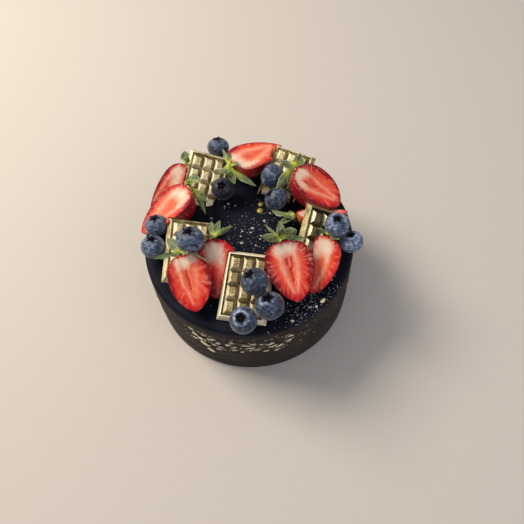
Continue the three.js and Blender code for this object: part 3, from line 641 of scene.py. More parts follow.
goldPlan = {
    # x, y, radius along X, radius along Y; those wider than goldFrom are gold, the others pale dust
    "goldFrom": 1.6,
    "drops": [
        (8.3, 22, 1.7, 1.7), (7.6, 17.3, 1.95, 1.9), (-11.2, 24, 0.9, 0.9), (-13.4, 22.1, 0.6, 0.6),
        (-7.1, 22.2, 0.65, 0.65), (9.8, 10, 0.9, 0.9), (13.5, 15.2, 0.7, 0.7), (2.6, 5.4, 1.2, 0.8),
        (1.5, 2.6, 0.9, 0.5), (-3.5, 3.7, 0.6, 0.6), (-4.4, 0.4, 0.6, 0.55), (-4, -4.2, 1.2, 0.95),
        (7.1, 0, 0.6, 0.6), (6.7, -2.3, 0.6, 0.6), (12.2, 4.9, 0.6, 0.6), (-21.4, 14.2, 0.9, 0.8),
        (3.9, -6.3, 0.6, 0.6), (-23.9, -52.3, 0.6, 0.5), (30.6, -46.5, 1.5, 0.9), (43.9, -31.6, 1, 0.7),
    ],
    "dropHeight": 0.55,        # share of the smaller radius
    # angle round the cake, size along the rim, size across it
    "rimFlakes": [(-48.9, 1.9, 1), (-53.8, 0.9, 0.7), (-69, 1, 0.7)], "flakeHeight": 0.45,
    # angle, height and size of the strokes of one smear
    "smear": [(235.4, 40, 1.2), (237.4, 35, 1.5), (240, 31, 1.7), (242.3, 27, 2.1), (245.4, 20, 2)],
    "smearTurn": -52, "smearShape": (1.5, 0.8),
    # height and number of the dashes of each row
    "dashRows": [(38.5, 6), (35.5, 9), (32.5, 10), (29.5, 8), (26, 5)],
    "dashSpan": (236, 290), "dashLength": (1.1, 1.9), "dashWidth": 0.36, "strokeHeight": 0.4,
    "dashShift": 0.4, "dashLift": 0.7,
}
paintBit, dropBit, dustBit = 0, 1, 2      # which finish a bit takes


def goldPlaces(plan):          # place, outward normal, long axis, half sizes and finish of every larger bit
    bits = []
    topLevel = cakePlan["height"] - cakePlan["topSag"]
    for x, y, radiusX, radiusY in plan["drops"]:
        finish = dropBit if radiusX > plan["goldFrom"] else dustBit
        halves = (radiusX, radiusY, plan["dropHeight"] * min(radiusX, radiusY))
        bits.append(((x, y, topLevel), (0, 0, 1), (1, 0, 0), halves, finish))
    for degrees, along, across in plan["rimFlakes"]:
        a = math.radians(degrees)
        place = Vector((math.cos(a), math.sin(a), 0)) * (cakePlan["topRadius"] - cakePlan["rimRounding"])
        place.z = cakePlan["height"] - cakePlan["topSag"] / 2
        halves = (along, across, plan["flakeHeight"])
        bits.append((tuple(place), (0, 0, 1), (-math.sin(a), math.cos(a), 0), halves, paintBit))
    wide, narrow = plan["smearShape"]
    for degrees, height, size in plan["smear"]:
        halves = (size * wide, size * narrow, plan["strokeHeight"])
        bits.append(sidePlace(degrees, height, plan["smearTurn"], halves))
    low, high = plan["dashSpan"]
    short, full = plan["dashLength"]
    for height, count in plan["dashRows"]:
        for i in range(count):             # the sines stand for a hand's unevenness
            share = (i + 0.5 + plan["dashShift"] * math.sin(i * 2.7 + height)) / count
            length = short + (full - short) * abs(math.sin(i * 1.9 + height * 0.7))
            lift = plan["dashLift"] * math.sin(i * 4.1 + height)
            halves = (length, plan["dashWidth"], plan["strokeHeight"])
            bits.append(sidePlace(low + share * (high - low), height + lift, 0, halves))
    return bits


def sidePlace(degrees, height, spin, halves):
    a, s = math.radians(degrees), math.radians(spin)
    out = Vector((math.cos(a), math.sin(a), 0))
    level = Vector((-math.sin(a), math.cos(a), 0))
    along = level * math.cos(s) + Vector((0, 0, 1)) * math.sin(s)
    place = out * float(coatRadius(height, a))
    return (place.x, place.y, height), tuple(out), tuple(along), halves, paintBit


def bitTree():                 # a dome on every point, sized and turned by the point's own fields
    tree, given = newTree("goldBits", [
        ("Roughen", "Float", 0.18), ("Lump Scale", "Float", cells(1.111)), ("Drop", "Material", None),
        ("Paint", "Material", None), ("Dust", "Material", None)])
    ball = addNode(tree, "GeometryNodeMeshIcoSphere", {"Radius": 1.0, "Subdivisions": 3})
    outward, along, halves = [
        addNode(tree, "GeometryNodeInputNamedAttribute", {"Name": field}, data_type="FLOAT_VECTOR").outputs[0]
        for field in ("outward", "along", "halves")]
    finish = addNode(tree, "GeometryNodeInputNamedAttribute", {"Name": "finish"}, data_type="FLOAT")
    up = addNode(tree, "FunctionNodeAlignRotationToVector", {"Vector": outward}, axis="Z")
    turned = addNode(tree, "FunctionNodeAlignRotationToVector", {"Rotation": up.outputs[0], "Vector": along},
                     axis="X", pivot_axis="Z")
    placed = addNode(tree, "GeometryNodeInstanceOnPoints", {
        "Points": given["Geometry"], "Instance": ball.outputs[0], "Rotation": turned.outputs[0],
        "Scale": halves})
    real = addNode(tree, "GeometryNodeRealizeInstances", {0: placed.outputs[0]})
    place = addNode(tree, "GeometryNodeInputPosition")
    wobble = addNode(tree, "ShaderNodeTexNoise", {
        "Vector": place.outputs[0], "Scale": given["Lump Scale"], "Detail": 1.0})
    centred = addNode(tree, "ShaderNodeVectorMath", {0: wobble.outputs["Color"], 1: (0.5, 0.5, 0.5)},
                      operation="SUBTRACT")
    most = addNode(tree, "ShaderNodeMath", {0: given["Roughen"], 1: mm}, operation="MULTIPLY")
    offset = addNode(tree, "ShaderNodeVectorMath", {0: centred.outputs[0], "Scale": most.outputs[0]},
                     operation="SCALE")
    shaped = addNode(tree, "GeometryNodeSetPosition", {
        "Geometry": real.outputs[0], "Offset": offset.outputs[0]})
    smooth = addNode(tree, "GeometryNodeSetShadeSmooth", {0: shaped.outputs[0]})
    done = addNode(tree, "GeometryNodeSetMaterial", {
        "Geometry": smooth.outputs[0], "Material": given["Paint"]})
    for level, material in ((dropBit, "Drop"), (dustBit, "Dust")):
        chosen = addNode(tree, "FunctionNodeCompare", {"A": finish.outputs[0], "B": level - 0.5},
                         operation="GREATER_THAN")
        done = addNode(tree, "GeometryNodeSetMaterial", {
            "Geometry": done.outputs[0], "Selection": chosen.outputs[0], "Material": given[material]})
    addNode(tree, "NodeGroupOutput", {0: done.outputs[0]})
    return tree


def makeGoldBits(plan):
    places, outward, along, halves, finish = zip(*goldPlaces(plan))
    thing = makeObject("goldBits", places, [], [goldPaint, goldDrop, oliveDust])
    storeField(thing, "outward", outward)
    storeField(thing, "along", along)
    storeField(thing, "halves", np.array(halves) * mm)
    storeField(thing, "finish", finish)
    useTree(thing, bitTree(), {"Drop": goldDrop, "Paint": goldPaint, "Dust": oliveDust})
    return settle(thing)


def scatterTree():             # flakes strewn where a field of the coat says, none on its underside
    tree, given = newTree("goldStrewn", [
        ("Field", "String", "specks"), ("Density", "Float", 3e5), ("Spacing", "Float", 0.8 * mm),
        ("Seed", "Int", 1), ("Size", "Float", 0.3 * mm), ("Smallest", "Float", 0.35),
        ("Largest", "Float", 1.6), ("Stretch", "Float", 1.0), ("Thickness", "Float", 0.5),
        ("Finish", "Material", None)])
    field = addNode(tree, "GeometryNodeInputNamedAttribute", {"Name": given["Field"]}, data_type="FLOAT")
    spots = addNode(tree, "GeometryNodeDistributePointsOnFaces", {
        "Mesh": given["Geometry"], "Distance Min": given["Spacing"], "Density Max": given["Density"],
        "Density Factor": field.outputs[0], "Seed": given["Seed"]}, distribute_method="POISSON")
    flake = addNode(tree, "GeometryNodeMeshIcoSphere", {"Radius": 1.0, "Subdivisions": 2})
    level = addNode(tree, "ShaderNodeVectorMath", {0: spots.outputs["Normal"], 1: (0, 0, 1)},
                    operation="CROSS_PRODUCT")
    up = addNode(tree, "FunctionNodeAlignRotationToVector", {"Vector": spots.outputs["Normal"]}, axis="Z")
    turned = addNode(tree, "FunctionNodeAlignRotationToVector", {
        "Rotation": up.outputs[0], "Vector": level.outputs[0]}, axis="X", pivot_axis="Z")
    size = addNode(tree, "FunctionNodeRandomValue", {
        2: given["Smallest"], 3: given["Largest"], "Seed": given["Seed"]}, data_type="FLOAT")
    radius = addNode(tree, "ShaderNodeMath", {0: size.outputs[1], 1: given["Size"]}, operation="MULTIPLY")
    length = addNode(tree, "ShaderNodeMath", {0: radius.outputs[0], 1: given["Stretch"]},
                     operation="MULTIPLY")
    thin = addNode(tree, "ShaderNodeMath", {0: radius.outputs[0], 1: given["Thickness"]},
                   operation="MULTIPLY")
    halves = addNode(tree, "ShaderNodeCombineXYZ", {
        0: length.outputs[0], 1: radius.outputs[0], 2: thin.outputs[0]})
    placed = addNode(tree, "GeometryNodeInstanceOnPoints", {
        "Points": spots.outputs[0], "Instance": flake.outputs[0], "Rotation": turned.outputs[0],
        "Scale": halves.outputs[0]})
    real = addNode(tree, "GeometryNodeRealizeInstances", {0: placed.outputs[0]})
    smooth = addNode(tree, "GeometryNodeSetShadeSmooth", {0: real.outputs[0]})
    done = addNode(tree, "GeometryNodeSetMaterial", {
        "Geometry": smooth.outputs[0], "Material": given["Finish"]})
    addNode(tree, "NodeGroupOutput", {0: done.outputs[0]})
    return tree


scatterPlan = {   # density: flakes a square metre where the field is full
    "dustSpecks": {"Field": "specks", "Density": 3e5, "Spacing": 0.9 * mm, "Seed": 7, "Size": 0.16 * mm,
                   "Stretch": 1.2, "Finish": silverDust},
    "goldDashes": {"Field": "dashes", "Density": 8e5, "Spacing": 0.9 * mm, "Seed": 3, "Size": 0.13 * mm,
                   "Stretch": 3.6, "Finish": goldPaint},
    "dustCrumbs": {"Field": "crumbs", "Density": 6.5e5, "Spacing": 0.6 * mm, "Seed": 5, "Size": 0.17 * mm,
                   "Stretch": 1.4, "Finish": silverDust},
}


def makeScatter(name, values, tree):
    thing = bpy.data.objects.new(name, cakeCoat.data.copy())
    bpy.context.scene.collection.objects.link(thing)
    useTree(thing, tree, values)
    return settle(thing)


goldBits = makeGoldBits(goldPlan)
dress(goldBits, "gilt", "cake")
strew = scatterTree()
for name, values in scatterPlan.items():
    scattered = makeScatter(name, values, strew)
    dress(scattered, "gilt")
    print(name, len(scattered.data.polygons))


# chocolate bars, all from one mould: three by four bevelled cells in a raised border

mould = {
    "columns": 3, "rows": 4, "cellWidth": 6.6, "cellLength": 7.8, "border": 3.3, "draft": 1.9,
    "lipWidth": 0.5, "lipHeight": 3.6, "floorHeight": 2.5, "cellHeight": 4.9, "cellBevel": 1.5,
    # the last entry is the direction of the painted light: faces turned towards it get a lighter cover
    "grooveWidth": 0.5, "edgeRounding": 0.2, "roundedFrom": 20, "paintedLightFrom": (-0.9, -0.36, 0.26),
}
dustAndLightPlan = {   # cover on a flat, how much painted light a slope towards the light adds, and the painted shade in grooves
    "flat": 0.22, "slope": 0.75, "least": 0.15, "leastDust": 0.6, "paintedGrooveShade": 0.2, "grooveDust": 1.1,
    "wallSlope": 0.16,
}
bars = {   # the middle of the back, how much the bar's cover differs from the usual, and the cover on its border with painted light and shade set bar by bar
    "gold_bar_back_left": {
        "at": (-25.2, 38.1, 53.9), "heading": 71.5, "slope": 23, "roll": 12, "dust": 0.21, "wall": 0.58},
    "gold_bar_back_right": {
        "at": (24.1, 39.4, 52.4), "heading": 62.9, "slope": 15.5, "roll": 2, "dust": 0.2, "wall": 0.6},
    "gold_bar_left": {
        "at": (-33, -12, 58), "heading": 85, "slope": 9, "roll": 16, "dust": 0.22, "wall": 0.5},
    "gold_bar_front": {
        "at": (-2.3, -35.3, 56.7), "heading": 78, "slope": 15, "roll": 1, "dust": 0.0, "wall": 0.95},
    "gold_bar_right": {
        "at": (39.4, -11.8, 58.9), "heading": 70.5, "slope": 20.9, "roll": 25.4, "dust": -0.22, "wall": 0.28},
}


def mouldFrame(margin, height, plan=mould):    # the four corners of a frame this far outside the cells
    halfX = plan["columns"] * plan["cellWidth"] / 2 + margin
    halfY = plan["rows"] * plan["cellLength"] / 2 + margin
    return [(sx * halfX, sy * halfY, height) for sx, sy in ((-1, -1), (1, -1), (1, 1), (-1, 1))]


def mouldMesh(plan):
    wallTop = plan["border"] - plan["draft"]
    points = mouldFrame(plan["border"], 0) + mouldFrame(wallTop, plan["lipHeight"]) \
        + mouldFrame(wallTop - plan["lipWidth"], plan["lipHeight"]) \
        + mouldFrame(plan["grooveWidth"], plan["floorHeight"])
    faces = [(0, 3, 2, 1)]
    for i in range(4):
        j = (i + 1) % 4
        faces += [(low + i, low + j, low + 4 + j, low + 4 + i) for low in (0, 4, 8)]
    columns, rows = plan["columns"], plan["rows"]
    wide, long = plan["cellWidth"], plan["cellLength"]
    left, near = -columns * wide / 2, -rows * long / 2
    corners = []
    for row in range(rows + 1):
        corners.append([len(points) + column for column in range(columns + 1)])
        for column in range(columns + 1):
            points.append((left + column * wide, near + row * long, plan["floorHeight"]))
    edges = [corners[0], [line[-1] for line in corners], corners[-1][::-1],
             [line[0] for line in corners[::-1]]]
    for i, line in enumerate(edges):
        faces.append((12 + i, 12 + (i + 1) % 4, *line[::-1]))
    bevel = plan["cellBevel"]
    for row in range(rows):
        for column in range(columns):
            foot = corners[row][column:column + 2] + corners[row + 1][column:column + 2][::-1]
            head = len(points)
            x, y = left + column * wide, near + row * long
            points += [(x + dx, y + dy, plan["cellHeight"]) for dx, dy in (
                (bevel, bevel), (wide - bevel, bevel), (wide - bevel, long - bevel), (bevel, long - bevel))]
            faces.append((head, head + 1, head + 2, head + 3))
            for i in range(4):
                j = (i + 1) % 4
                faces.append((foot[i], foot[j], head + j, head + i))
    return points, faces


def dustAndLightCover(thing, matrix, pose, plan, cover):     # how thick the gold lies on each face, with painted light and shade on top of it
    count = len(thing.data.polygons)
    centres, normals = np.zeros(count * 3), np.zeros(count * 3)
    thing.data.polygons.foreach_get("center", centres)
    thing.data.polygons.foreach_get("normal", normals)
    centres = moved(centres.reshape(-1, 3) / mm, matrix.inverted())
    normals = normals.reshape(-1, 3) @ np.array(matrix.to_3x3())
    halfX = plan["columns"] * plan["cellWidth"] / 2
    halfY = plan["rows"] * plan["cellLength"] / 2
    outside = np.maximum(np.abs(centres[:, 0]) - halfX, np.abs(centres[:, 1]) - halfY)
    # how far each face turns towards the painted light
    facing = normals @ np.array(plan["paintedLightFrom"])
    wallInner = plan["border"] - plan["draft"] - plan["lipWidth"]
    # the grooves between border and cells get painted shade
    inShadedGroove = (outside > 0.02) & (outside < wallInner + 0.05) & (centres[:, 2] < plan["lipHeight"] - 0.1)
    onCells = np.maximum(cover["flat"] + pose["dust"] + cover["slope"] * facing,
                         cover["least"] + cover["leastDust"] * pose["dust"])
    dustAndPaintedLight = np.where(inShadedGroove, cover["paintedGrooveShade"] + cover["grooveDust"] * pose["dust"], onCells)
    # the border takes its own cover, set bar by bar, plus painted light on walls turned towards the light
    return np.where(outside > wallInner, pose["wall"] + cover["wallSlope"] * facing, dustAndPaintedLight)


def makeBar(name, pose, plan, cutter):
    points, faces = mouldMesh(plan)
    matrix = placement(pose)
    thing = makeObject(name.replace("gold_bar", "bar"), moved(points, matrix), faces, [gildedBar],
                       smooth=False)
    bevel = thing.modifiers.new("rounding", "BEVEL")
    bevel.width = plan["edgeRounding"] * mm
    bevel.segments = 2
    bevel.limit_method = "ANGLE"
    bevel.angle_limit = math.radians(plan["roundedFrom"])
    bevel.harden_normals = False
    settle(thing)
    addBoolean(thing, cutter)
    settle(thing)
    dustAndPaintedLight = dustAndLightCover(thing, matrix, pose, plan, dustAndLightPlan)
    field = thing.data.attributes.new("dustAndPaintedLight", "FLOAT", "FACE")
    field.data.foreach_set("value", dustAndPaintedLight.astype(np.float32))
    return thing


# the cream under everything that lies on it, as a block that cuts their undersides
slabHalf, slabDepth = 90, 30
creamSlab = makeObject(
    "creamSlab",
    [(x, y, z) for z in (restHeight - slabDepth, restHeight) for y in (-slabHalf, slabHalf)
     for x in (-slabHalf, slabHalf)],
    [(0, 2, 3, 1), (4, 5, 7, 6), (0, 1, 5, 4), (1, 3, 7, 5), (3, 2, 6, 7), (2, 0, 4, 6)], [])
for name, pose in bars.items():
    bar = makeBar(name, pose, mould, creamSlab)
    dress(bar, "gilt", name)
print("bars made")


# blueberries

blueberryPlan = {   # angles in degrees from the crown, heights as shares of the radius
    "rows": 83, "turns": 96, "rowSpacing": (0.62, 2.4), "flat": 0.9, "lobes": 5, "crownAngle": 20,
    "starReach": 3.4,
    "crownWall": (-2.4, 1.8), "crownDepth": 0.27, "crownFloor": 0.72, "lipAngle": 3.4, "lipWidth": 2.8,
    "lipRise": (0.03, 0.035),
    "fullness": 1.012, "shoulder": (32, 46), "shoulderDip": 0.012, "lumpSize": 0.7, "lump": 0.018,
    "wrinkleSize": 0.4, "wrinkle": 0.013, "wrinkleFrom": (20, 50),
    "skinFrom": (-1.5, 3), "ringAngle": 10, "ringWidth": 7, "lipDark": 0.16,
}
blueberries = {   # crown: azimuth and elevation; bloom: how thick the wax is; ring: how pale round the crown
    "blueberry_1": {"at": (-15.8, 60.6, 60.3), "radius": 6.7, "crown": (90, 65), "bloom": -0.06, "ring": 0},
    "blueberry_2": {"at": (-13.5, 28.4, 60.1), "radius": 6.6, "crown": (-96, 72), "bloom": -0.24, "ring": 0.04},
    "blueberry_3": {"at": (16, 33.3, 63.4), "radius": 7, "crown": (140, 20), "bloom": -0.04, "ring": 0},
    "blueberry_4": {"at": (17.3, 19.8, 58.7), "radius": 6.9, "crown": (159, 44), "bloom": -0.07, "ring": 0.06},
    "blueberry_5": {"at": (-50.6, 3.6, 63), "radius": 6.4, "crown": (101, 73), "bloom": -0.01, "ring": 0},
    "blueberry_6": {"at": (-52, -9.6, 62.1), "radius": 6.6, "crown": (81, 70), "bloom": 0, "ring": 0.02},
    "blueberry_7": {"at": (-30.2, -12.5, 71.3), "radius": 7.5, "crown": (92, 74), "bloom": 0, "ring": 0},
    "blueberry_8": {"at": (2.5, -38.6, 69.8), "radius": 7.2, "crown": (148, 61), "bloom": -0.1, "ring": 0.02},
    "blueberry_9": {"at": (9.2, -50.2, 64.8), "radius": 7.5, "crown": (118, 71), "bloom": -0.09, "ring": 0.16},
    "blueberry_10": {
        "at": (-4.3, -56, 62.4), "radius": 7, "crown": (-134, 74), "bloom": -0.07, "ring": 0.24, "star": 0.3},
    "blueberry_11": {"at": (47.6, -9.1, 71.6), "radius": 6.5, "crown": (102, 85), "bloom": 0.05, "ring": 0},
    "blueberry_12": {"at": (55.4, -15.1, 63.4), "radius": 6.3, "crown": (124, 69), "bloom": 0.1, "ring": 0.08},
}


def blueberryMatrix(pose):
    azimuth, elevation = (math.radians(a) for a in pose["crown"])
    axis = Vector((math.cos(elevation) * math.cos(azimuth), math.cos(elevation) * math.sin(azimuth),
                   math.sin(elevation)))
    return Matrix.Translation(pose["at"]) @ Vector((0, 0, 1)).rotation_difference(axis).to_matrix().to_4x4()


def makeBlueberry(name, pose, plan, seed):
    share = np.linspace(0, 1, plan["rows"] + 2)[1:-1]
    even, power = plan["rowSpacing"]
    polar = 180 * (even * share + (1 - even) * share ** power)     # rows lie closer round the crown
    turn = np.linspace(0, 2 * math.pi, plan["turns"], endpoint=False)
    polarGrid, turnGrid = np.meshgrid(polar, turn, indexing="ij")
    p, t = polarGrid.ravel(), turnGrid.ravel()
    star = pose.get("star", 1) * np.cos(plan["lobes"] * t + 0.35 * np.sin(2 * t + seed))
    edge = plan["crownAngle"] + plan["starReach"] * star     # the opening is a five-pointed star
    wallFoot, wallTop = plan["crownWall"]
    inside = smoothStep(edge + wallTop, edge + wallFoot, p)
    ridge = np.exp(-((p - edge - plan["lipAngle"]) / plan["lipWidth"]) ** 2)
    rise, starRise = plan["lipRise"]
    reach = plan["fullness"] - plan["crownDepth"] * inside + (rise + starRise * star) * ridge
    shoulderFrom, shoulderTo = plan["shoulder"]
    reach -= plan["shoulderDip"] * smoothStep(shoulderTo, shoulderFrom, p) * (1 - inside)
    polarTurn = np.radians(p)
    direction = np.column_stack([
        np.sin(polarTurn) * np.cos(t), np.sin(polarTurn) * np.sin(t), np.cos(polarTurn)])
    lump = smoothNoise(direction, plan["lumpSize"], seed) * plan["lump"]
    wrinkle = smoothNoise(direction * [3, 3, 1.1], plan["wrinkleSize"], seed + 20) * plan["wrinkle"] \
        * smoothStep(*plan["wrinkleFrom"], p)
    radius = pose["radius"] * (reach + lump + wrinkle)
    local = direction * radius[:, None] * [1, 1, plan["flat"]]
    half = pose["radius"] * plan["flat"]
    ends = [(0, 0, half * plan["crownFloor"]), (0, 0, -half)]
    points = moved(np.vstack([local, ends]), blueberryMatrix(pose))
    rows, turns = plan["rows"], plan["turns"]
    faces = ringFaces(rows, turns) + poleFaces(rows, turns, rows * turns, rows * turns + 1)
    outward = [face[::-1] for face in faces]
    thing = makeObject(name.replace("blueberry_", "blueberry"), points, outward, [bloom])
    skinEdge, skinFull = plan["skinFrom"]
    hollow = smoothStep(edge + skinFull, edge + skinEdge, p)
    pale = pose["ring"] * np.exp(-((p - edge - plan["ringAngle"]) / plan["ringWidth"]) ** 2) \
        - plan["lipDark"] * ridge
    field = np.column_stack([hollow, np.full_like(p, pose["bloom"]), pale])
    storeField(thing, "bloomField", np.vstack([field, [1, 0, 0], [0, pose["bloom"], 0]]))
    return thing


for seed, (name, pose) in enumerate(blueberries.items(), 1):
    berry = makeBlueberry(name, pose, blueberryPlan, seed)
    dress(berry, "bloom", name)
print("blueberries made")


# strawberry halves: +Y from calyx to tip, cut face towards +Z

halfPlan = {
    "stations": 92, "skinSteps": 52, "faceSteps": 84, "skinCrowding": 0.02, "hollowDepth": 0.8,
    "strandRise": 0.12, "veinRise": 0.08, "lumpSize": 6, "faceLump": 0.12, "skinLump": 0.35,
}
cutterPlan = {**halfPlan, "stations": 24, "skinSteps": 20, "faceSteps": 6}     # coarser, to cut others
seedPlan = {   # seeds on the skin: sizes in mm, half sizes across, along and through a seed
    "spacing": 2.3, "density": 1.2e6, "pitDepth": 0.4, "pitRadius": 0.9, "halves": (0.32, 0.58, 0.2),
    "sizes": (0.8, 1.15), "sunk": 0.72, "pitsFrom": 0.3,
}
cutPlan = {   # the pattern on the cut: sizes in mm, fan angles in degrees
    "waverSize": 3.5, "rippleSize": 1.3, "slitWaver": 0.3, "shiftX": (0.6, 0.25), "shiftY": 0.5,
    "heart": -0.16, "fanSquash": 0.8, "streakFan": 4.2, "streakDrift": 0.05,
    "creamRim": (0.2, 2.6), "creamWaver": 0.8, "creamStreak": 1.2, "creamContrast": 0.35,
    "strandFall": 1.6, "strandRipple": 0.2, "strandStreak": 0.35,
    "veinReach": (5.2, 6), "reachFan": 7, "veinFade": 5, "veinStreak": (0.06, 0.5), "veinRim": (0.1, 1.2),
    "veinShare": 0.8, "innerShare": 0.27, "innerStreak": (-0.1, 0.5), "innerRim": (0.6, 3),
    "rays": (1.8, 1.1), "rayFan": 9, "rayRim": (0.3, 2.5), "deepening": 5,
}
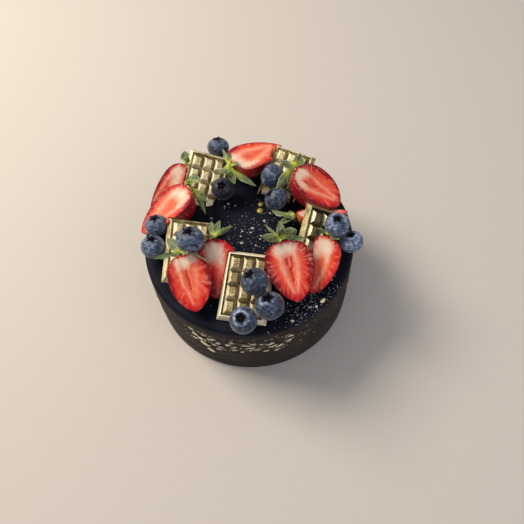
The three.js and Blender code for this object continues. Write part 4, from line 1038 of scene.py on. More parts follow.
# On each cut, x and y are mm from its middle, y towards the tip. The tone runs from red to orange. Patches of
# cream, and of deepened red that is partly the fruit's own deeper red and partly painted shade, have a middle,
# two radii and a strength. Strands are pale bands: width at both ends, strength at both ends, points. Slits are
# gaps in the core, painted a darker red as shade: width, depth, points. Veins: how strong the fine streaks at
# the rim are.
strawberries = {
    "strawberry_1": {
        "at": (-30.8, -34.3, 64.4), "heading": -79, "slope": -21, "roll": 0,
        "length": 30.7, "width": 22.3, "depth": 11, "widest": 0.42, "bend": -0.2, "tone": 0.4, "veins": 0.25,
        "cream": [(0.6, -10, 2.4, 2.6, 1), (0, -14, 6, 3.2, 0.9), (-4.2, -12, 2, 2.4, 0.6),
                  (4.8, -11, 1.4, 4, 0.7)],
        "deepRedAndShade": [(11, -1, 2.6, 6, 0.3), (-11, -3, 3.8, 9, 0.6)],
        "strands": [((1.3, 0.5), (1, 0.6), [(5, -12), (4.4, -6), (3.6, 0), (2.4, 5), (0.6, 11)]),
                    ((1.6, 1.2), (0.5, 0.3), [(-5, -12), (-4, -5), (-3.2, 1), (-2, 8)]),
                    ((0.5, 0.3), (0.6, 0.3), [(-0.6, -7), (-1.1, -2), (-0.8, 2)]),
                    ((0.25, 0.4), (0.5, 1), [(-4.5, 0.3), (-7.5, 1.5), (-9.8, 2.6)]),
                    ((0.3, 0.3), (0.35, 0.35), [(5, 5), (8, 9)])],
        "slits": [(0.36, 0.75, [(0.8, -6.5), (0.8, -3.5), (0.2, 0), (0.1, 3.5)])]},
    "strawberry_2": {
        # strawberry_2's low tone and its deepened-red patches are painted shade: it lies in the shade of
        # strawberry_1 and the front bar
        "at": (-18.4, -25.3, 61.6), "heading": -90, "slope": -22, "roll": 0,
        "length": 32, "width": 21, "depth": 10, "widest": 0.36, "bend": -1.5, "tone": 0.05, "veins": 0.2,
        "cream": [(0.6, -9, 4, 6, 0.9), (-2.8, -8, 2.6, 6, 0.8), (-4, -3, 1.8, 5, 0.4)],
        "deepRedAndShade": [(2.5, 2, 5, 16, 0.95), (-4, 12, 6, 10, 0.8)],
        "strands": [((1.4, 1.2), (0.4, 0.2), [(-3.6, -5), (-3.4, 0), (-1.6, 6), (-1.4, 13)])],
        "slits": []},
    "strawberry_3": {
        "at": (21.5, -31.3, 65), "heading": -79.6, "slope": -20, "roll": -4,
        "length": 33, "width": 26, "depth": 13, "widest": 0.38, "bend": -0.6, "tone": 0.2, "veins": 0.7,
        "cream": [(0.6, -12, 4.4, 3.4, 1), (-3.6, -12, 2.6, 4, 0.7), (4.6, -12, 2.4, 4, 0.65)],
        "deepRedAndShade": [(-12.5, -1, 5, 12, 0.95), (12.5, 0, 5, 11, 0.7), (-0.4, -1.5, 2.6, 7, 0.8)],
        "strands": [((2, 0.8), (0.95, 0.75), [(4.2, -10), (3.9, -4), (3.4, 1), (2.4, 6), (1, 11.5)]),
                    ((1.8, 0.8), (0.95, 0.75), [(-4.2, -10), (-4.3, -4), (-3.4, 2), (-2.4, 7), (-1, 11.5)]),
                    ((0.4, 0.3), (0.5, 0.3), [(-0.6, -7), (-0.7, -2)]),
                    ((0.25, 0.3), (0.3, 0.8), [(8, -5.6), (11.2, -7)]),
                    ((0.25, 0.3), (0.3, 0.8), [(8.4, -2.4), (11.4, -2.6)]),
                    ((0.3, 0.3), (0.4, 0.6), [(6, 2), (9.4, 4.2)]),
                    ((0.4, 0.3), (0.5, 0.9), [(-7.2, -9), (-10, -9.8)]),
                    ((0.25, 0.3), (0.4, 0.9), [(-8.6, -4.6), (-12, -4)]),
                    ((0.3, 0.3), (0.6, 0.4), [(3.2, 8), (4.4, 11)])],
        "slits": [(0.45, 0.7, [(0.5, -6.5), (0.6, -3.5)]),
                  (0.4, 0.7, [(-1.8, -7), (-1.8, -3.2), (-1.1, -0.5)]),
                  (0.5, 0.8, [(-0.4, -1), (-0.7, 2), (-0.4, 6)])]},
    "strawberry_4": {
        "at": (37.3, -26.6, 60.8), "heading": -111.5, "slope": -22, "roll": 0,
        "length": 32, "width": 19.5, "depth": 9, "widest": 0.4, "bend": 0, "tone": 0.62, "veins": 0.35,
        "cream": [(0.4, -11, 4.4, 5.4, 1), (3.4, -6, 2.2, 5, 0.6), (-2.6, -7, 1.8, 4.5, 0.5)],
        "deepRedAndShade": [(6, -12, 3, 3.5, 0.3)],
        "strands": [((1.5, 0.7), (0.7, 0.8), [(-2.6, -8), (-3.2, -2), (-2.7, 3), (-1.4, 8), (-0.4, 12.5)]),
                    ((1.3, 1), (0.5, 0.2), [(3.6, -6), (3.4, 0)])],
        "slits": []},
    "strawberry_5": {
        "at": (42, 23, 64), "heading": -47.4, "slope": -16, "roll": -20,
        "length": 32.8, "width": 29, "depth": 15, "widest": 0.46, "bend": 0, "tone": 0.25, "veins": 0.7,
        "cream": [(4.5, -12, 6, 3.6, 0.95), (0, -12.5, 2.6, 4, 0.75), (8.4, -7, 2.2, 5, 0.75)],
        "deepRedAndShade": [(-11, -9, 5, 8, 0.45), (-13, 4, 3, 8, 0.3), (13, -6, 2.6, 6, 0.5), (10, 6, 4, 4, 0.3)],
        "strands": [((2.2, 0.9), (0.85, 0.8), [(8.4, -8), (7.6, -2), (5, 2), (2, 6.5), (-1.2, 12)]),
                    ((1.4, 1.1), (0.6, 0.75), [(-0.8, -11), (-2.2, -6), (-2.6, 0), (-3.4, 5), (-3.2, 11.5)]),
                    ((0.5, 0.4), (0.4, 0.3), [(3.4, -8), (1, -4)])],
        "slits": [(0.7, 0.6, [(4.4, -6.6), (3, -3.4), (0.6, 0)]),
                  (0.5, 0.4, [(1.4, -5), (0, -1), (-0.6, 4)])]},
    "strawberry_6": {
        "at": (8.1, 49.8, 64), "heading": 30.4, "slope": -12, "roll": -10,
        "length": 36.8, "width": 24.7, "depth": 15, "widest": 0.33, "bend": -2, "tone": 0.7, "veins": 0.7,
        "cream": [(3, -14, 6, 5, 0.85), (-4, -14, 5, 4.5, 0.8), (5.6, -8, 2.2, 5, 0.7)],
        "deepRedAndShade": [(12, -11, 3.6, 6, 0.9), (-12, -12, 3, 5, 0.6)],
        "strands": [((2.6, 1.1), (0.9, 0.7), [(6.4, -12), (5.4, -6), (3.2, -1), (1, 4), (-0.8, 8), (-3, 12)]),
                    ((2.4, 1.3), (0.9, 0.75), [(-4, -14), (-6.8, -8), (-7.4, -3), (-6.6, 2), (-5.2, 8),
                                               (-3.8, 12)])],
        "slits": [(0.9, 0.35, [(-1.8, -5.6), (-1.4, -3.4)]), (0.5, 0.15, [(1, -8.5), (-1, -2), (-2.4, 5)])]},
    "strawberry_7": {
        "at": (-46.5, 14.1, 63), "heading": -139.5, "slope": -16, "roll": 24,
        "length": 36.8, "width": 28.5, "depth": 14, "widest": 0.35, "bend": 0.6, "tone": 0.7, "veins": 1.3,
        "cream": [(-2, -12.6, 6.5, 4, 0.95), (5, -11, 3, 4, 0.6), (-7.6, -9, 2.4, 4.5, 0.7)],
        "deepRedAndShade": [(13.4, -8, 2.6, 8, 0.8), (-12.4, -10, 2.6, 3, 0.7), (11, 7, 3, 6, 0.6)],
        "strands": [((2.8, 1.6), (0.85, 0.7), [(6, -10), (6, -4), (5, 1), (3.4, 6), (1.5, 12)]),
                    ((2.2, 1.3), (0.85, 0.7), [(-7.6, -11), (-7.8, -5), (-6.2, 0), (-4, 5), (-1, 11)])],
        "slits": []},
    "strawberry_8": {
        "at": (-46.1, 31.6, 58), "heading": -125.5, "slope": -16, "roll": -16,
        "length": 37, "width": 15.5, "depth": 9, "widest": 0.34, "bend": 0, "tone": 0.5, "veins": 0.5,
        "cream": [(1.6, -12.4, 3.2, 5.4, 1), (-1, -7, 2.8, 5, 0.8)],
        "deepRedAndShade": [(7.4, -4, 2, 14, 0.6), (-2, 8, 4, 9, 0.4)],
        "strands": [((1.1, 0.8), (0.8, 0.5), [(3.4, -10), (4.2, -4), (4.1, 3), (3.4, 10)]),
                    ((1, 0.8), (0.5, 0.4), [(-0.6, -4), (0.2, 3), (0.6, 9)])],
        "slits": []},
    "strawberry_9": {
        "at": (42.4, 6.4, 61), "heading": 2.5, "slope": -3.5, "roll": -38,
        "length": 29.5, "width": 19, "depth": 9, "widest": 0.38, "bend": 0, "tone": 0.9, "veins": 0.4,
        "cream": [(0, -9, 7, 6, 1), (-4, 4, 5, 9, 0.7)],
        "deepRedAndShade": [], "strands": [], "slits": []},
}
restsUnder = {
    "strawberry_2": ["strawberry_1"], "strawberry_4": ["strawberry_3"], "strawberry_8": ["strawberry_7"],
    "strawberry_9": ["strawberry_5", "strawberry_4", "strawberry_3"],
}
liesUnder = {"strawberry_6": "gold_bar_back_right"}     # nothing of the half stays above this bar,
clearBeyond = 2                                         # nor just past its far end


def outline(share, widest):
    rise = np.sqrt(np.clip(1 - np.abs((widest - share) / widest) ** 2.6, 0, 1))
    fall = np.clip(1 - np.clip((share - widest) / (1 - widest), 0, 1) ** 1.85, 0, 1) ** 0.66
    return np.where(share <= widest, rise, fall)


def halfMesh(pose, plan, grow=0.0):       # rings round the half: first its skin, then across its cut
    skinSteps, hollowDepth = plan["skinSteps"], plan["hollowDepth"]
    share = 0.5 - 0.5 * np.cos(np.linspace(0, math.pi, plan["stations"]))[1:-1]
    reach = outline(share, pose["widest"])
    length, half, depth = pose["length"] + 2 * grow, pose["width"] / 2 + grow, pose["depth"] + grow
    axis = pose["bend"] * np.sin(math.pi * share)
    steps = np.linspace(0, 1, skinSteps + 1)
    turn = math.pi * (steps - plan["skinCrowding"] * np.sin(2 * math.pi * steps))
    across = np.sin(np.linspace(-1, 1, plan["faceSteps"] + 1)[1:-1] * math.pi / 2)
    skinX = axis[:, None] + half * reach[:, None] * np.cos(turn)
    skinZ = grow - depth * reach[:, None] * np.sin(turn)
    faceX = axis[:, None] + half * reach[:, None] * across
    dip = hollowDepth * (1 - np.abs(across)) * np.sin(math.pi * share)[:, None] ** 2
    x = np.concatenate([skinX, faceX], axis=1)
    z = np.concatenate([skinZ, grow - dip], axis=1)
    y = np.repeat(((share - 0.5) * length)[:, None], x.shape[1], axis=1)
    rows, count = x.shape
    points = np.column_stack([x.ravel(), y.ravel(), z.ravel()])
    points = np.vstack([points, [0, -length / 2, 0], [0, length / 2, 0]])
    faces = ringFaces(rows, count) + poleFaces(rows, count, len(points) - 2, len(points) - 1)
    onCut = [1 if i >= skinSteps else 0 for i in range(count)]
    material = onCut * (rows - 1) + [which for which in onCut for _ in range(2)]
    return points, faces, material, share, across


def envelope(name, points, faces):
    return makeObject("envelope_" + name, points, faces, [])


def strokeDistance(x, y, points):         # mm from each spot to a broken line, and the share along it
    nearest, share = np.full(x.shape, 1e3), np.zeros(x.shape)
    for i, ((ax, ay), (bx, by)) in enumerate(zip(points, points[1:])):
        dx, dy = bx - ax, by - ay
        t = np.clip(((x - ax) * dx + (y - ay) * dy) / (dx * dx + dy * dy), 0, 1)
        distance = np.hypot(x - ax - t * dx, y - ay - t * dy)
        share = np.where(distance < nearest, (i + t) / (len(points) - 1), share)
        nearest = np.minimum(nearest, distance)
    return nearest, share


def patches(x, y, spots):                 # soft union of elliptic patches
    left = np.ones_like(x)
    for cx, cy, rx, ry, strength in spots:
        left *= 1 - strength * smoothStep(1.65, 0.1, np.hypot((x - cx) / rx, (y - cy) / ry))
    return 1 - left


def fanNoise(fan, size, drift, seed):     # streaks that fan out, this many degrees wide
    spots = np.column_stack([fan.ravel() / size, drift.ravel(), 0 * fan.ravel()])
    return smoothNoise(spots, 1.0, seed).reshape(fan.shape)


def cutFields(pose, x, y, rim, axis, plan, seed):    # what shows on the cut, at each spot of the half
    spots = np.column_stack([x.ravel(), y.ravel(), 0 * x.ravel()])
    waver = smoothNoise(spots, plan["waverSize"], seed + 40).reshape(x.shape)
    ripple = smoothNoise(spots, plan["rippleSize"], seed + 60).reshape(x.shape)
    slit = np.zeros_like(x)
    for width, depth, line in pose["slits"]:
        distance = strokeDistance(x + plan["slitWaver"] * waver, y, line)[0]
        slit = np.maximum(slit, depth * np.exp(-(distance / width) ** 2))
    byWaver, byRipple = plan["shiftX"]
    x = x + (byWaver * waver + byRipple * ripple)
    y = y + plan["shiftY"] * ripple
    fan = np.degrees(np.arctan2(x - axis, (y - plan["heart"] * pose["length"]) * plan["fanSquash"]))
    streak = fanNoise(fan, plan["streakFan"], plan["streakDrift"] * rim, seed)
    creamEdge = rim + plan["creamWaver"] * waver + plan["creamStreak"] * streak
    cream = patches(x, y, pose["cream"]) * smoothStep(*plan["creamRim"], creamEdge) \
        * (1 + plan["creamContrast"] * streak)
    solid = np.ones_like(x)
    uneven = 1 + plan["strandRipple"] * ripple + plan["strandStreak"] * streak
    for widths, strengths, line in pose["strands"]:
        distance, along = strokeDistance(x, y, line)
        width = widths[0] + (widths[1] - widths[0]) * along
        strength = strengths[0] + (strengths[1] - strengths[0]) * along
        solid *= 1 - strength * np.exp(-(distance / width) ** plan["strandFall"]) * uneven
    nearest, spread = plan["veinReach"]
    reach = nearest + spread * fanNoise(fan, plan["reachFan"], 0 * fan, seed + 9)
    vein = pose["veins"] * smoothStep(*plan["veinStreak"], streak) * smoothStep(*plan["veinRim"], rim) \
        * smoothStep(reach, reach - plan["veinFade"], rim)
    inner = smoothStep(*plan["innerStreak"], streak) * smoothStep(*plan["innerRim"], rim)
    vein = plan["veinShare"] * vein + plan["innerShare"] * inner
    byStreak, byRay = plan["rays"]
    rays = byStreak * streak + byRay * fanNoise(fan, plan["rayFan"], 0 * fan, seed + 3)
    # the deepened-red patches pull the rim's red inwards: partly the fruit's own deeper red, partly painted
    # shade
    deepRedAndShade = patches(x, y, pose["deepRedAndShade"])
    rim = np.maximum(rim - plan["deepening"] * deepRedAndShade + rays * smoothStep(*plan["rayRim"], rim), 0)
    return rim, np.clip(1 - solid, 0, 1), cream, vein, slit


def seedTree(plan):            # seeds spread evenly over the skin, each in its own pit
    smallest, largest = plan["sizes"]
    tree, given = newTree("strawberrySeeds", [
        ("Spacing", "Float", plan["spacing"] * mm), ("Density", "Float", plan["density"]),
        ("Pit Radius", "Float", plan["pitRadius"] * mm), ("Pit Depth", "Float", plan["pitDepth"] * mm),
        ("Half Sizes", "Vector", tuple(half * mm for half in plan["halves"])),
        ("Smallest", "Float", smallest), ("Largest", "Float", largest), ("Sunk", "Float", plan["sunk"]),
        ("Seed", "Int", 1), ("Tip", "Vector", None), ("Finish", "Material", None)])
    mask = addNode(tree, "GeometryNodeInputNamedAttribute", {"Name": "skinMask"}, data_type="FLOAT")
    spots = addNode(tree, "GeometryNodeDistributePointsOnFaces", {
        "Mesh": given["Geometry"], "Distance Min": given["Spacing"], "Density Max": given["Density"],
        "Density Factor": mask.outputs[0], "Seed": given["Seed"]}, distribute_method="POISSON")
    near = addNode(tree, "GeometryNodeProximity", {0: spots.outputs[0]}, target_element="POINTS")
    deepest = addNode(tree, "ShaderNodeMath", {0: given["Pit Depth"], 1: -1.0}, operation="MULTIPLY")
    sunk = addNode(tree, "ShaderNodeMapRange", {
        "Value": near.outputs["Distance"], "From Min": given["Pit Radius"], "From Max": 0.0, "To Min": 0.0,
        "To Max": deepest.outputs[0]}, interpolation_type="SMOOTHSTEP")
    normal = addNode(tree, "GeometryNodeInputNormal")
    push = addNode(tree, "ShaderNodeVectorMath", {0: normal.outputs[0], "Scale": sunk.outputs[0]},
                   operation="SCALE")
    onSkin = addNode(tree, "FunctionNodeCompare", {"A": mask.outputs[0], "B": plan["pitsFrom"]},
                     operation="GREATER_THAN")
    pitted = addNode(tree, "GeometryNodeSetPosition", {
        "Geometry": given["Geometry"], "Selection": onSkin.outputs[0], "Offset": push.outputs[0]})
    grain = addNode(tree, "GeometryNodeMeshIcoSphere", {"Radius": 1.0, "Subdivisions": 2})
    up = addNode(tree, "FunctionNodeAlignRotationToVector", {"Vector": spots.outputs["Normal"]}, axis="Z")
    turned = addNode(tree, "FunctionNodeAlignRotationToVector", {
        "Rotation": up.outputs[0], "Vector": given["Tip"]}, axis="Y", pivot_axis="Z")
    size = addNode(tree, "FunctionNodeRandomValue", {
        2: given["Smallest"], 3: given["Largest"], "Seed": given["Seed"]}, data_type="FLOAT")
    halves = addNode(tree, "ShaderNodeVectorMath", {0: given["Half Sizes"], "Scale": size.outputs[1]},
                     operation="SCALE")
    seat = addNode(tree, "ShaderNodeMath", {0: deepest.outputs[0], 1: given["Sunk"]}, operation="MULTIPLY")
    drop = addNode(tree, "ShaderNodeVectorMath", {0: spots.outputs["Normal"], "Scale": seat.outputs[0]},
                   operation="SCALE")
    sunkSpots = addNode(tree, "GeometryNodeSetPosition", {
        "Geometry": spots.outputs[0], "Offset": drop.outputs[0]})
    placed = addNode(tree, "GeometryNodeInstanceOnPoints", {
        "Points": sunkSpots.outputs[0], "Instance": grain.outputs[0], "Rotation": turned.outputs[0],
        "Scale": halves.outputs[0]})
    real = addNode(tree, "GeometryNodeRealizeInstances", {0: placed.outputs[0]})
    smooth = addNode(tree, "GeometryNodeSetShadeSmooth", {0: real.outputs[0]})
    done = addNode(tree, "GeometryNodeSetMaterial", {
        "Geometry": smooth.outputs[0], "Material": given["Finish"]})
    joined = addNode(tree, "GeometryNodeJoinGeometry")
    tree.links.new(done.outputs[0], joined.inputs[0])
    tree.links.new(pitted.outputs[0], joined.inputs[0])
    addNode(tree, "NodeGroupOutput", {0: joined.outputs[0]})
    return tree


def dropScraps(thing):     # what the cutters leave apart from the main body goes
    mesh = bmesh.new()
    mesh.from_mesh(thing.data)
    islands = []
    seen = set()
    for start in mesh.verts:
        if start in seen:
            continue
        seen.add(start)
        island = [start]
        for vertex in island:
            for edge in vertex.link_edges:
                other = edge.other_vert(vertex)
                if other not in seen:
                    seen.add(other)
                    island.append(other)
        islands.append(island)
    largest = max(islands, key=len)
    scraps = [vertex for island in islands if island is not largest for vertex in island]
    bmesh.ops.delete(mesh, geom=scraps, context="VERTS")
    mesh.to_mesh(thing.data)
    mesh.free()


def makeHalf(name, pose, plan, seed, cutters, tree):
    points, faces, material, share, across = halfMesh(pose, plan)
    skinCount = plan["skinSteps"] + 1
    rows, count = len(share), skinCount + len(across)
    grid = points[:-2].reshape(rows, count, 3)
    isFace = np.zeros((rows, count), bool)
    isFace[:, skinCount:] = True
    shareGrid = np.repeat(share[:, None], count, axis=1)
    skinAcross = np.cos(np.linspace(0, math.pi, skinCount))
    fromEdge = 1 - np.abs(np.tile(np.concatenate([skinAcross, across]), (rows, 1)))
    axis = pose["bend"] * np.sin(math.pi * share)[:, None]
    x, y = grid[..., 0].copy(), grid[..., 1].copy()
    edgeX = np.concatenate([x[:, 0], x[:, skinCount - 1]])
    edgeY = np.concatenate([y[:, 0], y[:, skinCount - 1]])
    toEdge = np.hypot(x.ravel()[:, None] - edgeX, y.ravel()[:, None] - edgeY)
    rim = np.min(toEdge, axis=1).reshape(rows, count)
    rim, strand, cream, vein, slit = cutFields(pose, x, y, rim, axis, cutPlan, seed)

    relief = slit - plan["strandRise"] * strand - plan["veinRise"] * vein
    grid[..., 2] -= np.where(isFace, relief, 0)
    lumps = smoothNoise(grid.reshape(-1, 3), plan["lumpSize"], seed).reshape(rows, count)
    faceLumps = plan["faceLump"] * lumps * smoothStep(0.2, 2, rim)
    skinLumps = plan["skinLump"] * lumps * smoothStep(0, 0.25, fromEdge)
    grid[..., 2] -= np.where(isFace, faceLumps, skinLumps)
    thing = makeObject(
        name.replace("strawberry_", "strawberryHalf"),
        moved(np.vstack([grid.reshape(-1, 3), points[-2:]]), placement(pose)),
        faces, [skin, flesh, seedCoat], material)
    tone = np.full_like(rim, pose["tone"])
    for field, parts in (("cutField", (rim, strand, cream)), ("veinField", (vein, slit, tone))):
        storeField(thing, field, np.vstack([np.stack(parts, axis=-1).reshape(-1, 3), np.zeros((2, 3))]))
    storeField(thing, "skinShare", np.append(shareGrid.ravel(), [0, 1]))
    mask = np.where(isFace, 0, smoothStep(0.03, 0.1, fromEdge) * smoothStep(0.05, 0.14, shareGrid))
    storeField(thing, "skinMask", np.append(mask.ravel(), [0, 0]))
    for cutter in cutters:
        addBoolean(thing, cutter)
    settle(thing)
    dropScraps(thing)
    tip = placement(pose).to_3x3() @ Vector((0, 1, 0))
    useTree(thing, tree, {"Seed": seed, "Tip": tuple(tip), "Finish": seedCoat})
    return settle(thing)


def touches(boxA, boxB):
    return all(boxA[0][k] < boxB[1][k] and boxB[0][k] < boxA[1][k] for k in range(3))


def boxOf(thing):
    world = np.zeros(len(thing.data.vertices) * 3)
    thing.data.vertices.foreach_get("co", world)
    world = world.reshape(-1, 3)
    return world.min(0), world.max(0)


def berryEnvelope(pose, flat, rows=18, turns=32):
    turn, polar = np.meshgrid(np.linspace(0, 2 * math.pi, turns, endpoint=False),
                              np.linspace(0, math.pi, rows + 2)[1:-1])
    ball = np.column_stack([(np.sin(polar) * np.cos(turn)).ravel(), (np.sin(polar) * np.sin(turn)).ravel(),
                            (np.cos(polar) * flat).ravel()])
    ball = np.vstack([ball, [0, 0, flat], [0, 0, -flat]]) * (pose["radius"] + touchGap)
    faces = ringFaces(rows, turns) + poleFaces(rows, turns, rows * turns, rows * turns + 1)
    return moved(ball, blueberryMatrix(pose)), [face[::-1] for face in faces]


envelopes = {}
hullTop = mould["border"] - mould["draft"] + touchGap
hullPoints = mouldFrame(mould["border"] + touchGap, -touchGap) \
    + mouldFrame(hullTop, mould["cellHeight"] + touchGap)
hullFaces = [(0, 3, 2, 1), (4, 5, 6, 7)] + [(i, (i + 1) % 4, 4 + (i + 1) % 4, 4 + i) for i in range(4)]
for name, pose in bars.items():
    envelopes[name] = envelope(name, moved(hullPoints, placement(pose)), hullFaces)
for name, pose in blueberries.items():
    envelopes[name] = envelope(name, *berryEnvelope(pose, blueberryPlan["flat"]))
for name, pose in strawberries.items():
    points, faces, *_ = halfMesh(pose, cutterPlan, touchGap)
    envelopes[name] = envelope(name, moved(points, placement(pose)), faces)
envelopeBoxes = {name: boxOf(thing) for name, thing in envelopes.items()}
clearings = {}
for name, barName in liesUnder.items():
    lifted = Matrix.Translation((0, clearBeyond, mould["cellHeight"]))
    block = moved(hullPoints, placement(bars[barName]) @ lifted)
    clearings[name] = envelope("over_" + barName, block, hullFaces)
seeds = seedTree(seedPlan)
for seed, (name, pose) in enumerate(strawberries.items(), 1):
    pressing = [*bars, *blueberries, *restsUnder.get(name, [])]
    reached = [other for other in pressing if touches(envelopeBoxes[name], envelopeBoxes[other])]
    cutters = [creamSlab] + [envelopes[other] for other in reached]
    if name in clearings:
        cutters.append(clearings[name])
    half = makeHalf(name, pose, halfPlan, seed, cutters, seeds)
    dress(half, "fruit", name)
    print(name, len(half.data.polygons))


# calyxes

leafPlan = {
    "thickness": 0.42, "edgeThinning": 0.75, "fold": 0.22, "along": 30, "across": 12, "ripple": 0.3,
    "curlFrom": -0.12, "facingFrom": 0.3, "rootShare": 0.55, "hidden": 0.9, "sway": 0.35,
    "footHalf": 0.7, "footShare": 0.55, "tipHalf": 0.05, "toothDepth": 0.09, "paleness": (0.12, 0.12),
}
hubPlan = {
    "radius": 2.1, "cup": 0.8, "knob": 1.9, "knobHeight": 0.95, "knobAt": -0.55, "rows": 6, "turns": 20,
}
youth = {3: 0.9, 5: 0.85, 6: 0.8, 7: 0.85}     # the lower, the further the yellow-green of the hub reaches
oldest = 1.1
calyxes = {   # leaflets: turn round the stem, opening, length, width, curl, twist
    1: [(123, 29, 11.8, 6, 10, 1), (83, 85, 13.7, 2.8, 10, 0.8), (-67, 113, 13.4, 1.8, 25, 0.3),
        (-22, 111, 4.8, 4, 0, 0.9), (-150, 80, 8, 4, 15, 0.5)],
    2: [(-151, 27, 10.9, 4, 5, 0.6), (-82, 50, 10, 2.8, 25, 0.6), (165, 28, 10.9, 3, 5, 0.6),
        (20, 85, 5, 3, 10, 0.5)],
    3: [(131, 33, 12.3, 1.6, 5, 0.7), (-165, 46, 11.6, 4.6, -35, 0.9), (2, 61, 7.1, 3, 0, 0.5),
        (-59, 61, 7.1, 5.6, 25, 0.8), (68, 72, 10.9, 4.4, 15, 0.9), (-77, 107, 10.7, 2.6, 0, 0.9),
        (20, 59, 5.6, 3.2, 0, 0.8), (-24, 59, 5.5, 3.4, 0, 0.8), (-62, 85, 4, 4, 10, 0.9),
        (57, 92, 5.5, 4, 10, 0.9)],
    4: [(142, 43, 9.4, 2.4, 0, 0.6), (-14, 86, 4.3, 3, 0, 0.8), (-52, 102, 6.6, 3.4, 10, 0.9),
        (66, 80, 5, 2.6, 0, 0.5), (-105, 85, 7, 3.5, 10, 0.5)],
    5: [(111, 92, 17.8, 5.4, 10, 1), (77, 47, 9.7, 6.4, 5, 1), (-93, 73, 8.2, 5, 5, 0.9),
        (114, 108, 10.1, 4, 10, 0.8), (-25, 60, 6, 4, 5, 0.5), (165, 85, 8, 4, 15, 0.5)],
    6: [(-79, 107, 12.4, 2.2, -5, 0.6), (81, 20, 10, 5.6, 5, 1), (109, 62, 11.6, 5, 10, 1),
        (107, 104, 18.5, 5.4, 10, 1), (56, 111, 5.9, 4, 0, 0.8), (-14, 100, 6, 3.4, 10, 0.5)],
    7: [(85, 27, 7.2, 11.5, 8, 1), (-128, 101, 17.4, 3, 10, 1), (-129, 83, 12.5, 3, 10, 0.9),
        (-39, 102, 4.6, 4, 0, 0.8), (165, 85, 7, 4, 10, 0.5)],
    8: [(133, 42, 9.8, 5.6, 0, 1), (0, 61, 4.8, 4, 0, 0.8), (180, 80, 8, 4, 10, 0.5)],
    9: [(-81, 32, 13.4, 7.4, 5, 1), (96, 37, 12, 5.4, 5, 1), (68, 35, 8.2, 6, 0, 0.9),
        (-77, 76, 4.2, 5, 0, 0.8)],
}


def leafletMesh(leaf, plan, hub, seed):    # upper side, underside, and place across and along at each point
    turn, opening, length, width, curl, facing = leaf
    turn = math.radians(turn)
    radial = np.array([math.sin(turn), 0, math.cos(turn)])
    stem = np.array([0, -1, 0])
    share = np.linspace(0, 1, plan["along"] + 1)
    angle = np.radians(opening + curl * np.clip(share - plan["curlFrom"], 0, 1))
    step = np.sin(angle)[:, None] * radial + np.cos(angle)[:, None] * stem
    inner = np.sin(angle)[:, None] * stem - np.cos(angle)[:, None] * radial
    faceUp = np.array([0, 0, 1]) - step * step[:, 2:]
    side = np.where(np.sum(faceUp * inner, axis=1) < 0, -1.0, 1.0)
    toward = side * facing * smoothStep(0, plan["facingFrom"], share)
    normal = inner * (1 - np.abs(toward))[:, None] + faceUp * toward[:, None]
    normal /= np.linalg.norm(normal, axis=1)[:, None]
    level = np.cross(step, normal)
    start = radial * hub["radius"] * plan["rootShare"] + stem * hub["cup"] * plan["rootShare"]
    strides = step[:-1] * (length + plan["hidden"]) / plan["along"]
    spine = start + np.vstack([np.zeros(3), np.cumsum(strides, axis=0)])
    spine = spine + level * (plan["sway"] * np.sin(share * 5 + seed) * share)[:, None]
    taper = np.sin(math.pi * share ** 0.85) ** 0.8
    foot = plan["footHalf"] * np.clip(1 - share / plan["footShare"], 0, 1)
    half = width / 2 * (taper ** 4 + foot ** 4) ** 0.25
    half[-1] = plan["tipHalf"]
    across = np.linspace(-1, 1, plan["across"] + 1)
    ripple = plan["ripple"] * np.sin(share * 13 + seed)[:, None] * np.abs(across) ** 2 \
        * (1 + 0.6 * np.sin(seed + share * 21)[:, None] * np.sign(across))
    rise = plan["fold"] * half[:, None] * np.abs(across) ** 1.4 + ripple * np.sin(math.pi * share)[:, None]
    teeth = 1 + plan["toothDepth"] * np.abs(np.sin(share * 17 + seed)) * smoothStep(0.1, 0.3, share)
    top = spine[:, None] + level[:, None] * (across[None, :, None] * (half * teeth)[:, None, None]) \
        + normal[:, None] * rise[..., None]
    thinned = 1 - plan["edgeThinning"] * np.abs(across[None, :, None]) ** 3
    under = top - normal[:, None] * plan["thickness"] * thinned
    field = np.stack(np.broadcast_arrays(across, share[:, None]), axis=-1)
    return top, under, field


def hubMesh(plan):             # a small knob over the stem, closed by a point at each end
    points = []
    rows, turns = plan["rows"], plan["turns"]
    for r in range(1, rows + 1):
        polar = r / (rows + 1) * math.pi
        for i in range(turns):
            turn = 2 * math.pi * i / turns
            reach = plan["knob"] * math.sin(polar)
            points.append((reach * math.cos(turn), plan["knobAt"] - plan["knobHeight"] * math.cos(polar),
                           reach * math.sin(turn)))
    points += [(0, plan["knobAt"] - plan["knobHeight"], 0), (0, plan["knobAt"] + plan["knobHeight"], 0)]
    return points, ringFaces(rows, turns) + poleFaces(rows, turns, rows * turns, rows * turns + 1)


def makeCalyx(number, leaflets, plan, hub, pose, cutters):
    points, faces, fields = [], [], []
    palest, variation = plan["paleness"]
    for k, leaf in enumerate(leaflets):
        top, under, field = leafletMesh(leaf, plan, hub, number * 7 + k)
        loop = np.concatenate([top, under[:, ::-1]], axis=1)
        loopField = np.concatenate([field, field[:, ::-1]], axis=1)
        first = len(points)
        rows, size = loop.shape[:2]
        points += loop.reshape(-1, 3).tolist()
        pale = palest + variation * math.sin(number * 2.3 + k * 1.7)
        fields += [(a, s * youth.get(number, oldest), pale) for a, s in loopField.reshape(-1, 2)]
        faces += [tuple(first + v for v in f) for f in ringFaces(rows, size)]
        faces.append(tuple(first + i for i in range(size))[::-1])
        faces.append(tuple(first + (rows - 1) * size + i for i in range(size)))
    hubPoints, hubFaces = hubMesh(hub)
    faces += [tuple(len(points) + v for v in f) for f in hubFaces]
    points += hubPoints
    fields += [(0, 0, 0.1)] * len(hubPoints)
    matrix = placement(pose) @ Matrix.Translation((0, -pose["length"] / 2 - 0.8, -1))
    thing = makeObject(f"calyx{number}", moved(points, matrix), faces, [sepal])
    storeField(thing, "leafField", fields)
    for cutter in cutters:
        addBoolean(thing, cutter)
    return settle(thing)


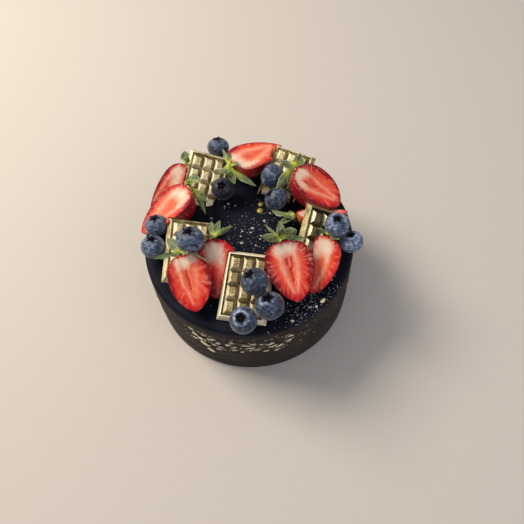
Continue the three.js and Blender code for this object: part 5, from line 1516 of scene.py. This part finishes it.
for number, leaflets in calyxes.items():
    name, owner = f"calyx_{number}", f"strawberry_{number}"
    node = [np.array(corner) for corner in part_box(name)]
    reached = [other for other in envelopes if touches(node, envelopeBoxes[other])]
    cutters = [creamSlab] + [envelopes[other] for other in reached]
    calyx = makeCalyx(number, leaflets, leafPlan, hubPlan, strawberries[owner], cutters)
    dress(calyx, "leaf", name)
print("calyxes made")
for cutter in [creamSlab, *envelopes.values(), *clearings.values()]:
    bpy.data.objects.remove(cutter)


# stage: pale floor, soft key from the left, weak fill

stagePlan = {
    "floor": {"half": 2500, "level": -0.05, "colour": "#c4bdb3"}, "sky": ("#dfe2ea", 0.5), "aim": (0, 0, 50),
    "lights": {   # place, size and power of each soft box, all aimed at the cake
        "key": {"at": (-640, 380, 820), "size": 480, "power": 13.5, "tint": "#fff3e4"},
        "fill": {"at": (620, -500, 700), "size": 700, "power": 2, "tint": "#f4f2ff"},
    },
}


def makeStage(plan):
    floorFinish, tree = newMaterial("paperSweepMatt")
    finishMaterial(tree, {"Base Color": linear(plan["floor"]["colour"]), "Roughness": 0.8})
    half, level = plan["floor"]["half"], plan["floor"]["level"]
    corners = [(-half, -half, level), (half, -half, level), (half, half, level), (-half, half, level)]
    makeObject("floor", corners, [(0, 1, 2, 3)], [floorFinish])
    skyColour, skyStrength = plan["sky"]
    world = bpy.data.worlds.new("studio")
    world.use_nodes = True
    world.node_tree.nodes.clear()
    glow = addNode(world.node_tree, "ShaderNodeBackground", {
        "Color": linear(skyColour), "Strength": skyStrength})
    addNode(world.node_tree, "ShaderNodeOutputWorld", {"Surface": glow.outputs[0]})
    bpy.context.scene.world = world
    for name, light in plan["lights"].items():
        data = bpy.data.lights.new(name, "AREA")
        data.size = light["size"] * mm
        data.energy = light["power"]
        data.color = linear(light["tint"])[:3]
        lamp = bpy.data.objects.new(name, data)
        aim = (Vector(plan["aim"]) - Vector(light["at"])).to_track_quat("-Z", "Y")
        lamp.matrix_world = Matrix.Translation(Vector(light["at"]) * mm) @ aim.to_matrix().to_4x4()
        bpy.context.scene.collection.objects.link(lamp)


makeStage(stagePlan)
bpy.context.scene.view_settings.view_transform = "Standard"

print("pieces ready")
